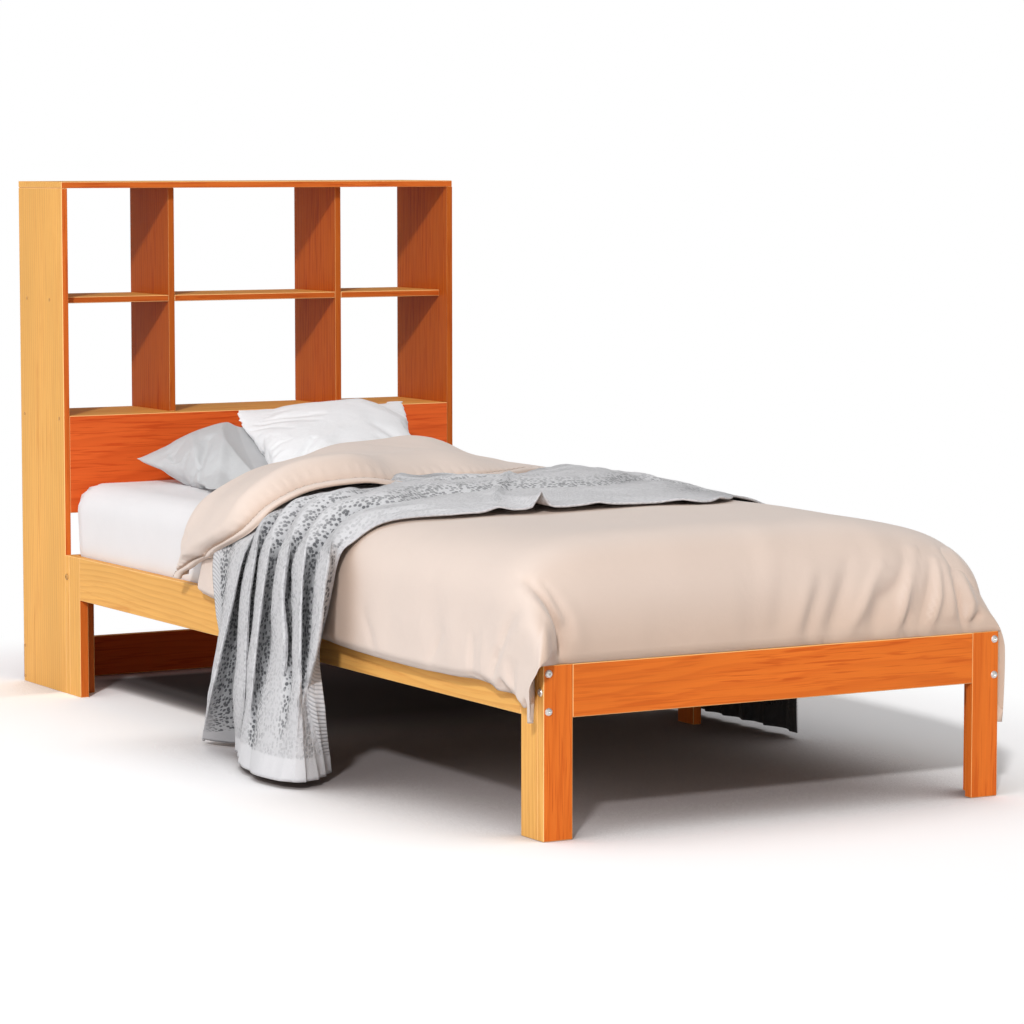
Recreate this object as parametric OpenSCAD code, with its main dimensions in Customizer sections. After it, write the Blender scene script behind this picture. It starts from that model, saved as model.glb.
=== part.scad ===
// Single bed with a bookcase headboard, bolted pine frame, slats and made-up bedding.
// Millimetres. X across the bed, +Y towards the bookcase, +Z up. The origin lies on the floor,
// under the middle of the whole object's box.

/* [Bed frame] */
// Width over the side rails, legs and bookcase
bed_w = 955; // [905:5:1205]
// Length of the bed frame, from the foot face to the bookcase
frame_l = 2055; // [2005:5:2155]
// Height of the legs and rails above the floor
rail_top = 302; // [280:1:360]
// Height of the rail boards
rail_h = 92; // [80:1:110]
// Thickness of the rail and leg boards
board_t = 20; // [18:1:24]
// Width of a corner leg's face board
leg_face_w = 58; // [50:1:80]
// Width of a corner leg's side board
leg_side_w = 57; // [45:1:80]
// Width of a middle leg
mid_leg_w = 60; // [50:1:90]
// Depth from the rail top down to the slat tops
mattress_sink = 47; // [40:1:50]

/* [Slats] */
// Number of slats
slat_count = 13; // [10:1:13]
// Width of a slat
slat_w = 70; // [50:1:90]
// Thickness of a slat
slat_t = 12; // [10:1:14]
// Gap between a slat's end and the side rail
slat_end_gap = 5; // [3:1:8]
// Distance from the leg's face board to the first slat
slat_margin = 30; // [20:1:50]
// Width of the ledger strip under the slat ends
ledger_t = 18; // [16:1:24]
// Height of the ledger strip
ledger_h = 30; // [26:1:32]

/* [Bookcase] */
// Height of the bookcase
case_h = 1105; // [1000:5:1200]
// Depth of the bookcase
case_d = 240; // [200:5:300]
// Thickness of the bookcase boards
panel_t = 14; // [12:1:18]
// Height of the bottom shelf's top face
low_shelf_z = 602; // [580:1:640]
// Height of the middle shelves' top faces
mid_shelf_z = 857; // [800:1:900]
// Height of the headboard panel
headboard_h = 210; // [180:1:230]
// Width of each outer bay, from the bookcase's outer face to the divider
outer_bay_w = 266; // [220:1:300]
// Setback of the dividers and middle shelves behind the front edges
divider_setback = 35; // [20:1:60]
// Height of the plinth board at the back
plinth_h = 90; // [60:1:120]

/* [Hardware] */
// Bolt shank diameter
bolt_d = 6; // [5:1:8]
// Bolt head diameter
bolt_head_d = 14; // [12:1:16]
// Bolt head height
bolt_head_h = 3.5; // [3:0.5:5]
// Length of a bolt inside the board that it pulls in
bolt_grip = 42; // [36:1:50]
// Height of the upper bolts' axis below the rail top
bolt_inset_top = 14; // [12:1:20]
// Height of the lower bolts' axis above the rail's lower edge
bolt_inset_low = 13; // [12:1:20]
// Barrel nut diameter
barrel_d = 10; // [9:1:12]
// Barrel nut length
barrel_l = 14; // [12:1:15]
// Dowel diameter in the bed frame
dowel_d = 8; // [6:1:10]
// Dowel length in the rail ends and middle legs
dowel_l = 40; // [30:2:50]
// Dowel diameter in the bookcase
case_dowel_d = 6; // [5:1:7]
// Wood screw diameter
screw_d = 4; // [3.5:0.5:5]
// Wood screw head diameter
screw_head_d = 8; // [7:0.5:9]
// Bookcase screw diameter
case_screw_d = 5; // [4:0.5:6]
// Bookcase screw length
case_screw_l = 45; // [38:1:50]
// Side length of the angle brackets that tie the bookcase to the bed
bracket_l = 36; // [30:1:45]
// Width of an angle bracket
bracket_w = 20; // [16:1:30]
// Thickness of an angle bracket
bracket_t = 2; // [1.5:0.5:3]

/* [Bedding] */
// Height of the mattress
mattress_h = 205; // [160:5:240]
// Gap between the mattress and the frame boards
mattress_gap = 7.5; // [6:0.5:15]
// Radius of the mattress's top and bottom edges
mattress_edge_r = 50; // [20:5:60]
// Radius of the mattress's corners seen from above
mattress_corner_r = 80; // [30:5:90]
// Height of the duvet over the mattress, at its shoulders
duvet_t = 38; // [30:1:60]
// Rise of the duvet's middle over its shoulders
duvet_crown = 20; // [10:1:40]
// How far the duvet stands out past the side rails
duvet_bulge = 33; // [25:1:60]
// How far the duvet's hem hangs below the rail top
duvet_drop = 52; // [30:1:80]
// Extra height of the folded-back head end
fold_t = 45; // [20:1:70]
// Thickness of the throw
throw_t = 5; // [4:0.5:8]
// How far the throw's hem stands out at the floor, past the duvet
throw_flare = 70; // [40:1:90]
// Depth of the throw's pleats
pleat_d = 28; // [10:1:40]
// Number of pleats in the throw
pleat_count = 5; // [3:1:6]
// Width of the grey pillow
grey_w = 520; // [450:5:600]
// Depth of the grey pillow
grey_d = 430; // [380:5:460]
// Thickness of the grey pillow
grey_t = 130; // [90:5:160]
// Width of the white pillow
white_w = 520; // [450:5:600]
// Depth of the white pillow
white_d = 440; // [380:5:460]
// Thickness of the white pillow
white_t = 125; // [90:5:160]

/* [Fits] */
// Clearance around a bolt shank in its hole, on the radius
bolt_clear = 0.5; // [0.3:0.1:0.8]
// Clearance around a barrel nut, dowel or screw, on the radius
tight_clear = 0.1; // [0.05:0.05:0.2]
// Depth that a blind hole runs past what fills it
blind_extra = 0.5; // [0.2:0.1:0.8]
// Gap between a soft piece and what it rests on
soft_gap = 0.3; // [0.2:0.1:0.6]

/* [Hidden] */
$fn = 32;
eps = 0.01;

// Main planes
half_w = bed_w / 2;
y_foot = -(frame_l + case_d - bolt_head_h) / 2;
y_case = y_foot + frame_l;
y_back = y_case + case_d;
y_mid = y_foot + frame_l / 2;
rail_low = rail_top - rail_h;
rail_in = half_w - board_t;
rail_y0 = y_foot + board_t + leg_side_w;
rail_y1 = y_case - board_t - leg_side_w;
frame_y0 = y_foot + board_t;
frame_y1 = y_case - board_t;
cross_end = half_w - leg_face_w;
slat_top = rail_top - mattress_sink;
ledger_top = slat_top - slat_t;

// Bookcase planes
case_in = half_w - panel_t;
divider_x = half_w - outer_bay_w - panel_t;
shelf_y0 = y_case + divider_setback;
case_under = case_h - panel_t;
low_shelf_under = low_shelf_z - panel_t;
headboard_z0 = low_shelf_z - headboard_h;

// Bolts, barrel nuts and dowels
bolt_x = half_w - board_t / 2;
bolt_z = [rail_low + bolt_inset_low, rail_top - bolt_inset_top];
cross_z = (bolt_z[0] + bolt_z[1]) / 2;
head_sink = bolt_head_h + blind_extra;
barrel_back = bolt_grip - barrel_d;
leg_dowel_z = [60, 150];
leg_dowel_l = 28;
leg_dowel_in = 12;
cross_dowel_dz = 22;
mid_dowel_dy = 15;

// Screws
slat_screw_l = 30;
ledger_screw_l = ledger_t + board_t - 6;
screw_head_h = 2.5;
ledger_screw_count = 6;
case_dowel_in = 9;
case_dowel_out = 21;
shelf_dowel_y = [40, 160];
shelf_screw_y = [38, 165];
low_shelf_screw_y = [27, 220];
top_screw_y = [40, 200];
plinth_screw_z = [11, 79];
panel_dowel_z = [35, 170];
panel_dowel_x = [-300, 0, 300];
bracket_z = [60, 160];
bracket_screw_in = 22;
bracket_screw_l = [12, 16];

slat_pitch = (frame_y1 - frame_y0 - 2 * slat_margin - slat_w) / (slat_count - 1);
function slat_y(k) = frame_y0 + slat_margin + slat_w / 2 + k * slat_pitch;
function ledger_screw_y(k) = slat_pitch / 2
    + slat_y(1 + k * floor((slat_count - 3) / (ledger_screw_count - 1)));

// Bedding
mattress_w = bed_w - 2 * board_t - 2 * mattress_gap;
mattress_l = frame_y1 - frame_y0 - 2 * mattress_gap;
mattress_top = slat_top + mattress_h;
rest_z = mattress_top + soft_gap;
tuck_z = rail_top + 2 * soft_gap;

// Duvet: p runs across it from -1 at the left hem to 1 at the right hem. Past arc_out it hangs, inside arc_in it
// lies flat, and between them it rounds the shoulder.
arc_in = 0.35;
arc_out = 0.75;
hang_p = 0.9;
duvet_p = [-1, -hang_p, -arc_out, -0.67, -0.59, -0.51, -0.43, -arc_in, -0.22, -0.1, 0,
    0.1, 0.22, arc_in, 0.43, 0.51, 0.59, 0.67, arc_out, hang_p, 1];
duvet_half = half_w + duvet_bulge;
duvet_z = mattress_top + duvet_t;
duvet_rx = 190;
duvet_rz = 120;
round_power = 0.7;
lining_gap = 5;
duvet_in = half_w + lining_gap;
lining_r = 62;
lining_r_min = 2;
foot_round = 150;
foot_face = y_foot + 2;
foot_tuck = [frame_y0 + 0.2 * mattress_gap, frame_y0 + 0.7 * mattress_gap];
foot_lining_r = 48;
hem_rise = 50;
hem_rise_l = 1400;
corner_drop = [55, 120];
corner_l = [40, 50];
head_round = 60;
fold_ramp = 70;
fold_side = 0.3;
lining_share = 0.05;
foot_n = 7;
body_n = 7;
ramp_n = 3;
band_n = 4;
head_n = 5;

// Distances in front of the bookcase, across the duvet: its folded head end, and the fold's own edge
crease_back = [[-1, 650], [-0.75, 710], [-0.45, 730], [-0.3, 670], [-0.15, 570], [0, 510], [0.15, 480],
    [0.45, 450], [0.6, 360], [0.75, 320], [1, 300]];
fold_back = [[-1, 730], [-0.75, 850], [-0.45, 930], [-0.3, 950], [-0.15, 930], [0, 880], [0.15, 800],
    [0.45, 680], [0.6, 600], [0.75, 560], [1, 540]];

// Throw: its middle line in front of the bookcase, and half its width, across the bed
throw_back = [[-1, 1115], [-0.6, 1160], [-0.35, 1230], [-0.22, 1290], [-0.1, 1335], [0, 1345], [0.1, 1330],
    [0.22, 1260], [0.35, 1170], [0.6, 1110], [1, 1095]];
throw_half = [[-1, 240], [-0.6, 235], [-0.35, 260], [-0.1, 320], [0.1, 345], [0.35, 310], [0.6, 270], [1, 230]];
throw_floor_back = [1065, 1090];
throw_floor_half = 272;
throw_hem_z = 1;
throw_cols = 30;
throw_drop_n = 7;
throw_gap = 0.6;

// Pillows
pillow_rim = 3;
pillow_n = [16, 12];
pillow_pull = 0.1;
grey_at = [-118, 228, 58];
grey_turn = -4;
grey_tilt = 8;
white_at = [92, 222, 75];
white_turn = 8;
white_tilt = 22;
lid_at = [-147, 155, 132];
lid_slope = [-0.5, 0.25];
lid_top = 138;
lid_gap = 4;

wood = "orange";
wood_light = "sandybrown";
wood_dark = "chocolate";
steel = "silver";

function slat_name(k) = str("slat_", k < 9 ? "0" : "", k + 1);

// Shapes along an axis, turned so that +Z of the child points along +X or -X, +Y or -Y, or -Z
module along_x(at, s = 1) { translate(at) rotate([0, 90 * s, 0]) children(); }
module along_y(at, s = 1) { translate(at) rotate([-90 * s, 0, 0]) children(); }
module down(at) { translate(at) rotate([180, 0, 0]) children(); }

// Puts a piece drawn at +X on side s, and one drawn at the foot at the head
module on_side(s) { if (s < 0) mirror([1, 0, 0]) children(); else children(); }
module at_head() { translate([0, y_foot + y_case, 0]) mirror([0, 1, 0]) children(); }
module block(a, b) { translate(a) cube(b - a); }

// Bolt, screw, dowel and the holes that take them
module bolt(l) {
    cylinder(d = bolt_d, h = l);
    difference() {
        rotate_extrude() polygon([[0, -bolt_head_h], [bolt_head_d * 0.26, -bolt_head_h],
            [bolt_head_d * 0.41, -bolt_head_h * 0.75], [bolt_head_d / 2, -bolt_head_h * 0.25],
            [bolt_head_d / 2, 0], [0, 0]]);
        translate([0, 0, -bolt_head_h - eps]) cylinder(d = bolt_d * 0.8, h = bolt_head_h * 0.6, $fn = 6);
    }
}
module bolt_hole(l) { translate([0, 0, -eps]) cylinder(d = bolt_d + 2 * bolt_clear, h = l + eps); }
module tight_hole(d, l) { translate([0, 0, -eps]) cylinder(d = d + 2 * tight_clear, h = l + eps); }
module dowel(d, l) { translate([0, 0, -l / 2]) cylinder(d = d, h = l); }
module dowel_hole(l) { tight_hole(dowel_d, l + blind_extra); }
module screw(d, l) {
    cylinder(d = d, h = l);
    cylinder(d1 = screw_head_d, d2 = d, h = screw_head_h);
}
module screw_hole(d, l) {
    tight_hole(d, l + blind_extra);
    translate([0, 0, -eps]) cylinder(d1 = screw_head_d + 2 * (tight_clear + eps), d2 = d + 2 * tight_clear,
        h = screw_head_h + tight_clear + eps);
}

// Corner leg at the foot, right side: two boards in an L
module leg_face_board(sunk) {
    difference() {
        block([half_w - leg_face_w, y_foot, 0], [half_w, frame_y0, rail_top]);
        for (z = bolt_z) {
            along_y([bolt_x, y_foot, z]) bolt_hole(board_t + eps);
            if (sunk) along_y([bolt_x, y_foot, z])
                tight_hole(bolt_head_d + 2 * bolt_clear, head_sink);
        }
        along_x([half_w, y_foot + board_t / 2, cross_z], -1) bolt_hole(leg_face_w + eps);
        for (z = leg_dowel_z) along_y([bolt_x, frame_y0, z], -1) dowel_hole(leg_dowel_in);
        for (s = [-1, 1])
            along_x([cross_end, y_foot + board_t / 2, cross_z + s * cross_dowel_dz])
                dowel_hole(dowel_l / 2);
        if (sunk) for (z = bracket_z)
            along_y([case_in - bracket_screw_in, y_foot, z + bracket_w / 2])
                tight_hole(screw_d, bracket_screw_l[1] - bracket_t + blind_extra);
    }
}
module leg_side_board() {
    difference() {
        block([rail_in, frame_y0, 0], [half_w, rail_y0, rail_top]);
        for (z = bolt_z) along_y([bolt_x, frame_y0, z]) bolt_hole(leg_side_w + eps);
        for (z = leg_dowel_z)
            along_y([bolt_x, frame_y0, z]) dowel_hole(leg_dowel_l - leg_dowel_in);
        along_y([bolt_x, rail_y0, cross_z], -1) dowel_hole(dowel_l / 2);
    }
}
module foot_leg_face(s) { color(wood) on_side(s) leg_face_board(false); }
module foot_leg_side(s) { color(wood_light) on_side(s) leg_side_board(); }
module head_leg_face(s) { color(wood) at_head() on_side(s) leg_face_board(true); }
module head_leg_side(s) { color(wood_light) at_head() on_side(s) leg_side_board(); }

// Side rail, right side
module rail_end_holes() {
    for (z = bolt_z) {
        along_y([bolt_x, rail_y0, z]) bolt_hole(bolt_grip + blind_extra);
        along_x([rail_in, rail_y0 + barrel_back, z]) tight_hole(barrel_d, (board_t + barrel_l) / 2);
    }
    along_y([bolt_x, rail_y0, cross_z]) dowel_hole(dowel_l / 2);
}
module side_rail(s) {
    color(wood_light) on_side(s) difference() {
        block([rail_in, rail_y0, rail_low], [half_w, rail_y1, rail_top]);
        rail_end_holes();
        at_head() rail_end_holes();
        for (t = [-1, 1])
            translate([bolt_x, y_mid + t * mid_dowel_dy, rail_low]) dowel_hole(dowel_l / 2);
        for (k = [0 : ledger_screw_count - 1])
            along_x([rail_in, ledger_screw_y(k), ledger_top - ledger_h / 2])
                tight_hole(screw_d, ledger_screw_l - ledger_t + blind_extra);
    }
}

// Cross rail at the foot, between the face boards
module cross_rail() {
    color(wood) difference() {
        block([-cross_end, y_foot, rail_low], [cross_end, frame_y0, rail_top]);
        for (s = [-1, 1]) {
            along_x([s * cross_end, y_foot + board_t / 2, cross_z], -s) bolt_hole(bolt_grip + blind_extra);
            along_y([s * (cross_end - barrel_back), frame_y0, cross_z], -1)
                tight_hole(barrel_d, (board_t + barrel_l) / 2);
            for (t = [-1, 1])
                along_x([s * cross_end, y_foot + board_t / 2, cross_z + t * cross_dowel_dz], -s)
                    dowel_hole(dowel_l / 2);
        }
    }
}
module foot_rail() { cross_rail(); }
module head_rail() { at_head() cross_rail(); }

module mid_leg(s) {
    color(wood) on_side(s) difference() {
        block([rail_in, y_mid - mid_leg_w / 2, 0], [half_w, y_mid + mid_leg_w / 2, rail_low]);
        for (t = [-1, 1]) down([bolt_x, y_mid + t * mid_dowel_dy, rail_low]) dowel_hole(dowel_l / 2);
    }
}

// Ledger strip inside a side rail, and the slats on it
module slat_ledger(s) {
    color(wood_light) on_side(s) difference() {
        block([rail_in - ledger_t, frame_y0 + slat_end_gap, ledger_top - ledger_h],
            [rail_in, frame_y1 - slat_end_gap, ledger_top]);
        for (k = [0 : ledger_screw_count - 1])
            along_x([rail_in - ledger_t, ledger_screw_y(k), ledger_top - ledger_h / 2])
                screw_hole(screw_d, ledger_t);
        for (k = [0 : slat_count - 1])
            down([rail_in - ledger_t / 2, slat_y(k), ledger_top])
                tight_hole(screw_d, slat_screw_l - slat_t + blind_extra);
    }
}
module slat(k) {
    color("burlywood") difference() {
        block([slat_end_gap - rail_in, slat_y(k) - slat_w / 2, ledger_top],
            [rail_in - slat_end_gap, slat_y(k) + slat_w / 2, slat_top]);
        for (s = [-1, 1]) down([s * (rail_in - ledger_t / 2), slat_y(k), slat_top])
            screw_hole(screw_d, slat_t);
    }
}

// Hardware of the bed frame
module rail_bolts(sink) {
    for (s = [-1, 1], z = bolt_z)
        along_y([s * bolt_x, y_foot + sink, z]) bolt(board_t + leg_side_w + bolt_grip - sink);
}
module foot_bolts() { color(steel) rail_bolts(0); }
module head_bolts() { color(steel) at_head() rail_bolts(head_sink); }
module side_bolts() {
    color(steel) for (s = [-1, 1], y = [y_foot + board_t / 2, y_case - board_t / 2])
        along_x([s * half_w, y, cross_z], -s) bolt(leg_face_w + bolt_grip);
}
module barrel() {
    difference() {
        cylinder(d = barrel_d, h = barrel_l);
        translate([0, 0, barrel_l / 2]) rotate([0, 90, 0])
            cylinder(d = bolt_d + 2 * tight_clear, h = 2 * barrel_d, center = true);
    }
}
module end_barrels() {
    for (s = [-1, 1]) {
        for (z = bolt_z)
            translate([s * (bolt_x - barrel_l / 2), rail_y0 + barrel_back, z])
                rotate([90, 0, 90 * s]) barrel();
        along_y([s * (cross_end - barrel_back), y_foot + (board_t + barrel_l) / 2, cross_z], -1) barrel();
    }
}
module barrel_nuts() { color(steel) { end_barrels(); at_head() end_barrels(); } }
module end_dowels() {
    for (s = [-1, 1]) {
        for (z = leg_dowel_z)
            along_y([s * bolt_x, frame_y0 + leg_dowel_l / 2 - leg_dowel_in, z]) dowel(dowel_d, leg_dowel_l);
        along_y([s * bolt_x, rail_y0, cross_z]) dowel(dowel_d, dowel_l);
        for (t = [-1, 1])
            along_x([s * cross_end, y_foot + board_t / 2, cross_z + t * cross_dowel_dz])
                dowel(dowel_d, dowel_l);
    }
}
module frame_dowels() {
    color("burlywood") {
        end_dowels();
        at_head() end_dowels();
        for (s = [-1, 1], t = [-1, 1])
            translate([s * bolt_x, y_mid + t * mid_dowel_dy, rail_low]) dowel(dowel_d, dowel_l);
    }
}
module ledger_screws() {
    color(steel) for (s = [-1, 1], k = [0 : ledger_screw_count - 1])
        along_x([s * (rail_in - ledger_t), ledger_screw_y(k), ledger_top - ledger_h / 2], s)
            screw(screw_d, ledger_screw_l);
}
module slat_screws() {
    color(steel) for (s = [-1, 1], k = [0 : slat_count - 1])
        down([s * (rail_in - ledger_t / 2), slat_y(k), slat_top]) screw(screw_d, slat_screw_l);
}

// Places of the bookcase's screws and dowels, at the right side, as children drawn along the fastener
module side_screw_places() {
    for (y = low_shelf_screw_y) along_x([half_w, y_case + y, low_shelf_z - panel_t / 2], -1) children();
    for (y = shelf_screw_y) along_x([half_w, shelf_y0 + y, mid_shelf_z - panel_t / 2], -1) children();
    for (z = plinth_screw_z) along_x([half_w, y_back - panel_t / 2, z], -1) children();
}
module top_screw_places() {
    for (y = top_screw_y) {
        down([half_w - panel_t / 2, y_case + y, case_h]) children();
        down([divider_x + panel_t / 2, y_case + y, case_h]) children();
    }
}
module low_screw_places() {
    for (y = shelf_screw_y) translate([divider_x + panel_t / 2, shelf_y0 + y, low_shelf_under]) children();
}
module panel_end_places() {
    for (z = panel_dowel_z) along_x([case_in, y_case + panel_t / 2, headboard_z0 + z]) children();
}
module shelf_dowel_places() {
    for (y = shelf_dowel_y)
        along_x([divider_x + panel_t / 2, shelf_y0 + y, mid_shelf_z - panel_t / 2]) children();
}
module shelf_edge_places() {
    for (x = panel_dowel_x) along_y([x, y_case + panel_t, low_shelf_z - panel_t / 2]) children();
}
module both_sides() { children(); mirror([1, 0, 0]) children(); }
module case_screw_hole() { screw_hole(case_screw_d, case_screw_l); }

// Bookcase boards
module case_side(s) {
    color(wood_light) on_side(s) difference() {
        block([case_in, y_case, 0], [half_w, y_back, case_under]);
        side_screw_places() case_screw_hole();
        top_screw_places() case_screw_hole();
        panel_end_places() tight_hole(case_dowel_d, case_dowel_in + blind_extra);
        for (z = bracket_z)
            along_x([case_in, y_case + bracket_screw_in, z + bracket_w / 2])
                tight_hole(screw_d, bracket_screw_l[0] - bracket_t + blind_extra);
    }
}
module case_top() {
    color(wood_light) difference() {
        block([-half_w, y_case, case_under], [half_w, y_back, case_h]);
        both_sides() top_screw_places() case_screw_hole();
    }
}
module case_bottom_shelf() {
    color(wood_dark) difference() {
        block([-case_in, y_case + panel_t, low_shelf_under], [case_in, y_back, low_shelf_z]);
        both_sides() side_screw_places() case_screw_hole();
        both_sides() low_screw_places() case_screw_hole();
        shelf_edge_places() tight_hole(case_dowel_d, case_dowel_out + blind_extra);
    }
}
module headboard_panel() {
    color(wood_dark) difference() {
        block([-case_in, y_case, headboard_z0], [case_in, y_case + panel_t, low_shelf_z]);
        both_sides() panel_end_places() rotate([180, 0, 0]) tight_hole(case_dowel_d, case_dowel_out + blind_extra);
        shelf_edge_places() rotate([180, 0, 0]) tight_hole(case_dowel_d, case_dowel_in + blind_extra);
    }
}
module divider(s) {
    color(wood) on_side(s) difference() {
        block([divider_x, shelf_y0, low_shelf_z], [divider_x + panel_t, y_back, case_under]);
        top_screw_places() case_screw_hole();
        low_screw_places() case_screw_hole();
        shelf_dowel_places() cylinder(d = case_dowel_d + 2 * tight_clear, h = 2 * panel_t, center = true);
    }
}
module mid_shelf_board(x0, x1) {
    block([x0, shelf_y0, mid_shelf_z - panel_t], [x1, y_back, mid_shelf_z]);
}
module shelf_dowel_holes() {
    shelf_dowel_places() translate([0, 0, -case_dowel_out - blind_extra])
        cylinder(d = case_dowel_d + 2 * tight_clear, h = 2 * (case_dowel_out + blind_extra));
}
module outer_shelf(s) {
    color(wood) on_side(s) difference() {
        mid_shelf_board(divider_x + panel_t, case_in);
        side_screw_places() case_screw_hole();
        shelf_dowel_holes();
    }
}
module shelf_center() {
    color(wood) difference() {
        mid_shelf_board(-divider_x, divider_x);
        both_sides() shelf_dowel_holes();
    }
}
module plinth_board() {
    color(wood_dark) difference() {
        block([-case_in, y_back - panel_t, 0], [case_in, y_back, plinth_h]);
        both_sides() side_screw_places() case_screw_hole();
    }
}
module case_screws() {
    color(steel) both_sides() {
        side_screw_places() screw(case_screw_d, case_screw_l);
        top_screw_places() screw(case_screw_d, case_screw_l);
        low_screw_places() screw(case_screw_d, case_screw_l);
    }
}
module case_dowels() {
    color("burlywood") {
        both_sides() {
            panel_end_places() translate([0, 0, -case_dowel_out])
                cylinder(d = case_dowel_d, h = case_dowel_in + case_dowel_out);
            shelf_dowel_places() dowel(case_dowel_d, 2 * case_dowel_out);
        }
        shelf_edge_places() translate([0, 0, -case_dowel_in])
            cylinder(d = case_dowel_d, h = case_dowel_in + case_dowel_out);
    }
}

// Angle brackets in the corners between the bookcase's side panels and the head legs
module link_brackets() {
    color(steel) both_sides() for (z = bracket_z) difference() {
        block([case_in - bracket_l, y_case, z], [case_in, y_case + bracket_l, z + bracket_w]);
        block([case_in - bracket_l - 1, y_case + bracket_t, z - 1],
            [case_in - bracket_t, y_case + bracket_l + 1, z + bracket_w + 1]);
        along_x([case_in - bracket_t, y_case + bracket_screw_in, z + bracket_w / 2])
            screw_hole(screw_d, bracket_t);
        along_y([case_in - bracket_screw_in, y_case + bracket_t, z + bracket_w / 2], -1)
            screw_hole(screw_d, bracket_t);
    }
}
module bracket_screws() {
    color(steel) both_sides() for (z = bracket_z) {
        along_x([case_in - bracket_t, y_case + bracket_screw_in, z + bracket_w / 2])
            screw(screw_d, bracket_screw_l[0]);
        along_y([case_in - bracket_screw_in, y_case + bracket_t, z + bracket_w / 2], -1)
            screw(screw_d, bracket_screw_l[1]);
    }
}

// A block with all its edges rounded: w by l seen from above, h high, edge radius r, corner radius c
module round_rect(w, l, r) {
    square([w - 2 * r, l], center = true);
    square([w, l - 2 * r], center = true);
    for (x = [-1, 1], y = [-1, 1]) translate([x * (w / 2 - r), y * (l / 2 - r)]) circle(r, $fn = 48);
}
module mattress() {
    color("white") translate([0, y_mid, slat_top]) intersection() {
        linear_extrude(mattress_h) round_rect(mattress_w, mattress_l, mattress_corner_r);
        translate([0, mattress_l / 2, mattress_h / 2]) rotate([90, 0, 0])
            linear_extrude(mattress_l) round_rect(mattress_w, mattress_h, mattress_edge_r);
        translate([-mattress_w / 2, 0, mattress_h / 2]) rotate([90, 0, 90])
            linear_extrude(mattress_w) round_rect(mattress_l, mattress_h, mattress_edge_r);
    }
}

// A closed sheet between an outer and an inner grid of points, joined along all four borders
function cell(n, j, i) = [j * n + i, j * n + i + 1, (j + 1) * n + i + 1, (j + 1) * n + i];
function quad(a, b, c, d) = [[a, b, c], [a, c, d]];
module sheet(outer, inner) {
    m = len(outer);
    n = len(outer[0]);
    k = m * n;
    faces = concat(
        [for (j = [0 : m - 2], i = [0 : n - 2]) let (c = cell(n, j, i)) each
            concat(quad(c[0], c[3], c[2], c[1]), quad(c[0] + k, c[1] + k, c[2] + k, c[3] + k))],
        [for (j = [0 : m - 2]) let (c = cell(n, j, 0), e = cell(n, j, n - 2)) each
            concat(quad(c[3], c[0], c[0] + k, c[3] + k), quad(e[1], e[2], e[2] + k, e[1] + k))],
        [for (i = [0 : n - 2]) let (c = cell(n, 0, i), e = cell(n, m - 2, i)) each
            concat(quad(c[0], c[1], c[1] + k, c[0] + k), quad(e[2], e[3], e[3] + k, e[2] + k))]);
    polyhedron(points = concat([for (row = outer) each row], [for (row = inner) each row]), faces = faces);
}
function mix(a, b, t) = a + (b - a) * t;
function clamp01(t) = min(max(t, 0), 1);
function smooth(t) = let (c = clamp01(t)) c * c * (3 - 2 * c);

// Cross-section of a cover that lies on a mattress and hangs at both sides: x and z at p
function arc_angle(p) = 90 * clamp01((arc_out - abs(p)) / (arc_out - arc_in));
function section(p, half, hem, top, rx, rz) = let (q = abs(p), a = arc_angle(p)) [
    sign(p) * (q > arc_in ? half - rx + rx * pow(cos(a), round_power) : (half - rx) * q / arc_in),
    q > arc_out ? mix(hem, top - rz, (1 - q) / (1 - arc_out)) : top - rz + rz * pow(sin(a), round_power)];
function outward(p) = [sign(p) * cos(arc_angle(p)), sin(arc_angle(p))];

function hem_z(y, p) = let (d = y - y_foot, s = p < 0 ? 0 : 1) rail_top - duvet_drop
    + hem_rise * pow(clamp01(d / hem_rise_l), 2) - corner_drop[s] * exp(-d / corner_l[s]);
function crease_y(p) = y_case - lookup(p, crease_back);
function fold_y(p) = y_case - lookup(p, fold_back);
function fold_height(p, y) = fold_t * smooth((y - fold_y(p)) / fold_ramp)
    * mix(1, fold_side, smooth((abs(p) - arc_in) / (arc_out - arc_in)));

// Duvet's outer face at p and y, with its top at share f of its height over the rails
function duvet_skin(p, y, f = 1, lift = 0) = let (
    top = mix(tuck_z, duvet_z, f),
    c = section(p, duvet_half, hem_z(y, p), top, duvet_rx, min(duvet_rz, top - rail_top)),
    n = outward(p) * (lift + fold_height(p, y)),
    crown = f * duvet_crown * (1 - pow(c[0] / duvet_half, 2)) * clamp01(outward(p)[1]))
    [c[0] + n[0], y, c[1] + n[1] + crown];
function duvet_lining(p, y, top) = let (
    r = min(lining_r, max(top - rail_top, lining_r_min)),
    c = section(p, duvet_in, hem_z(y, p), top, r, r))
    [c[0], y, c[1]];

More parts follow.
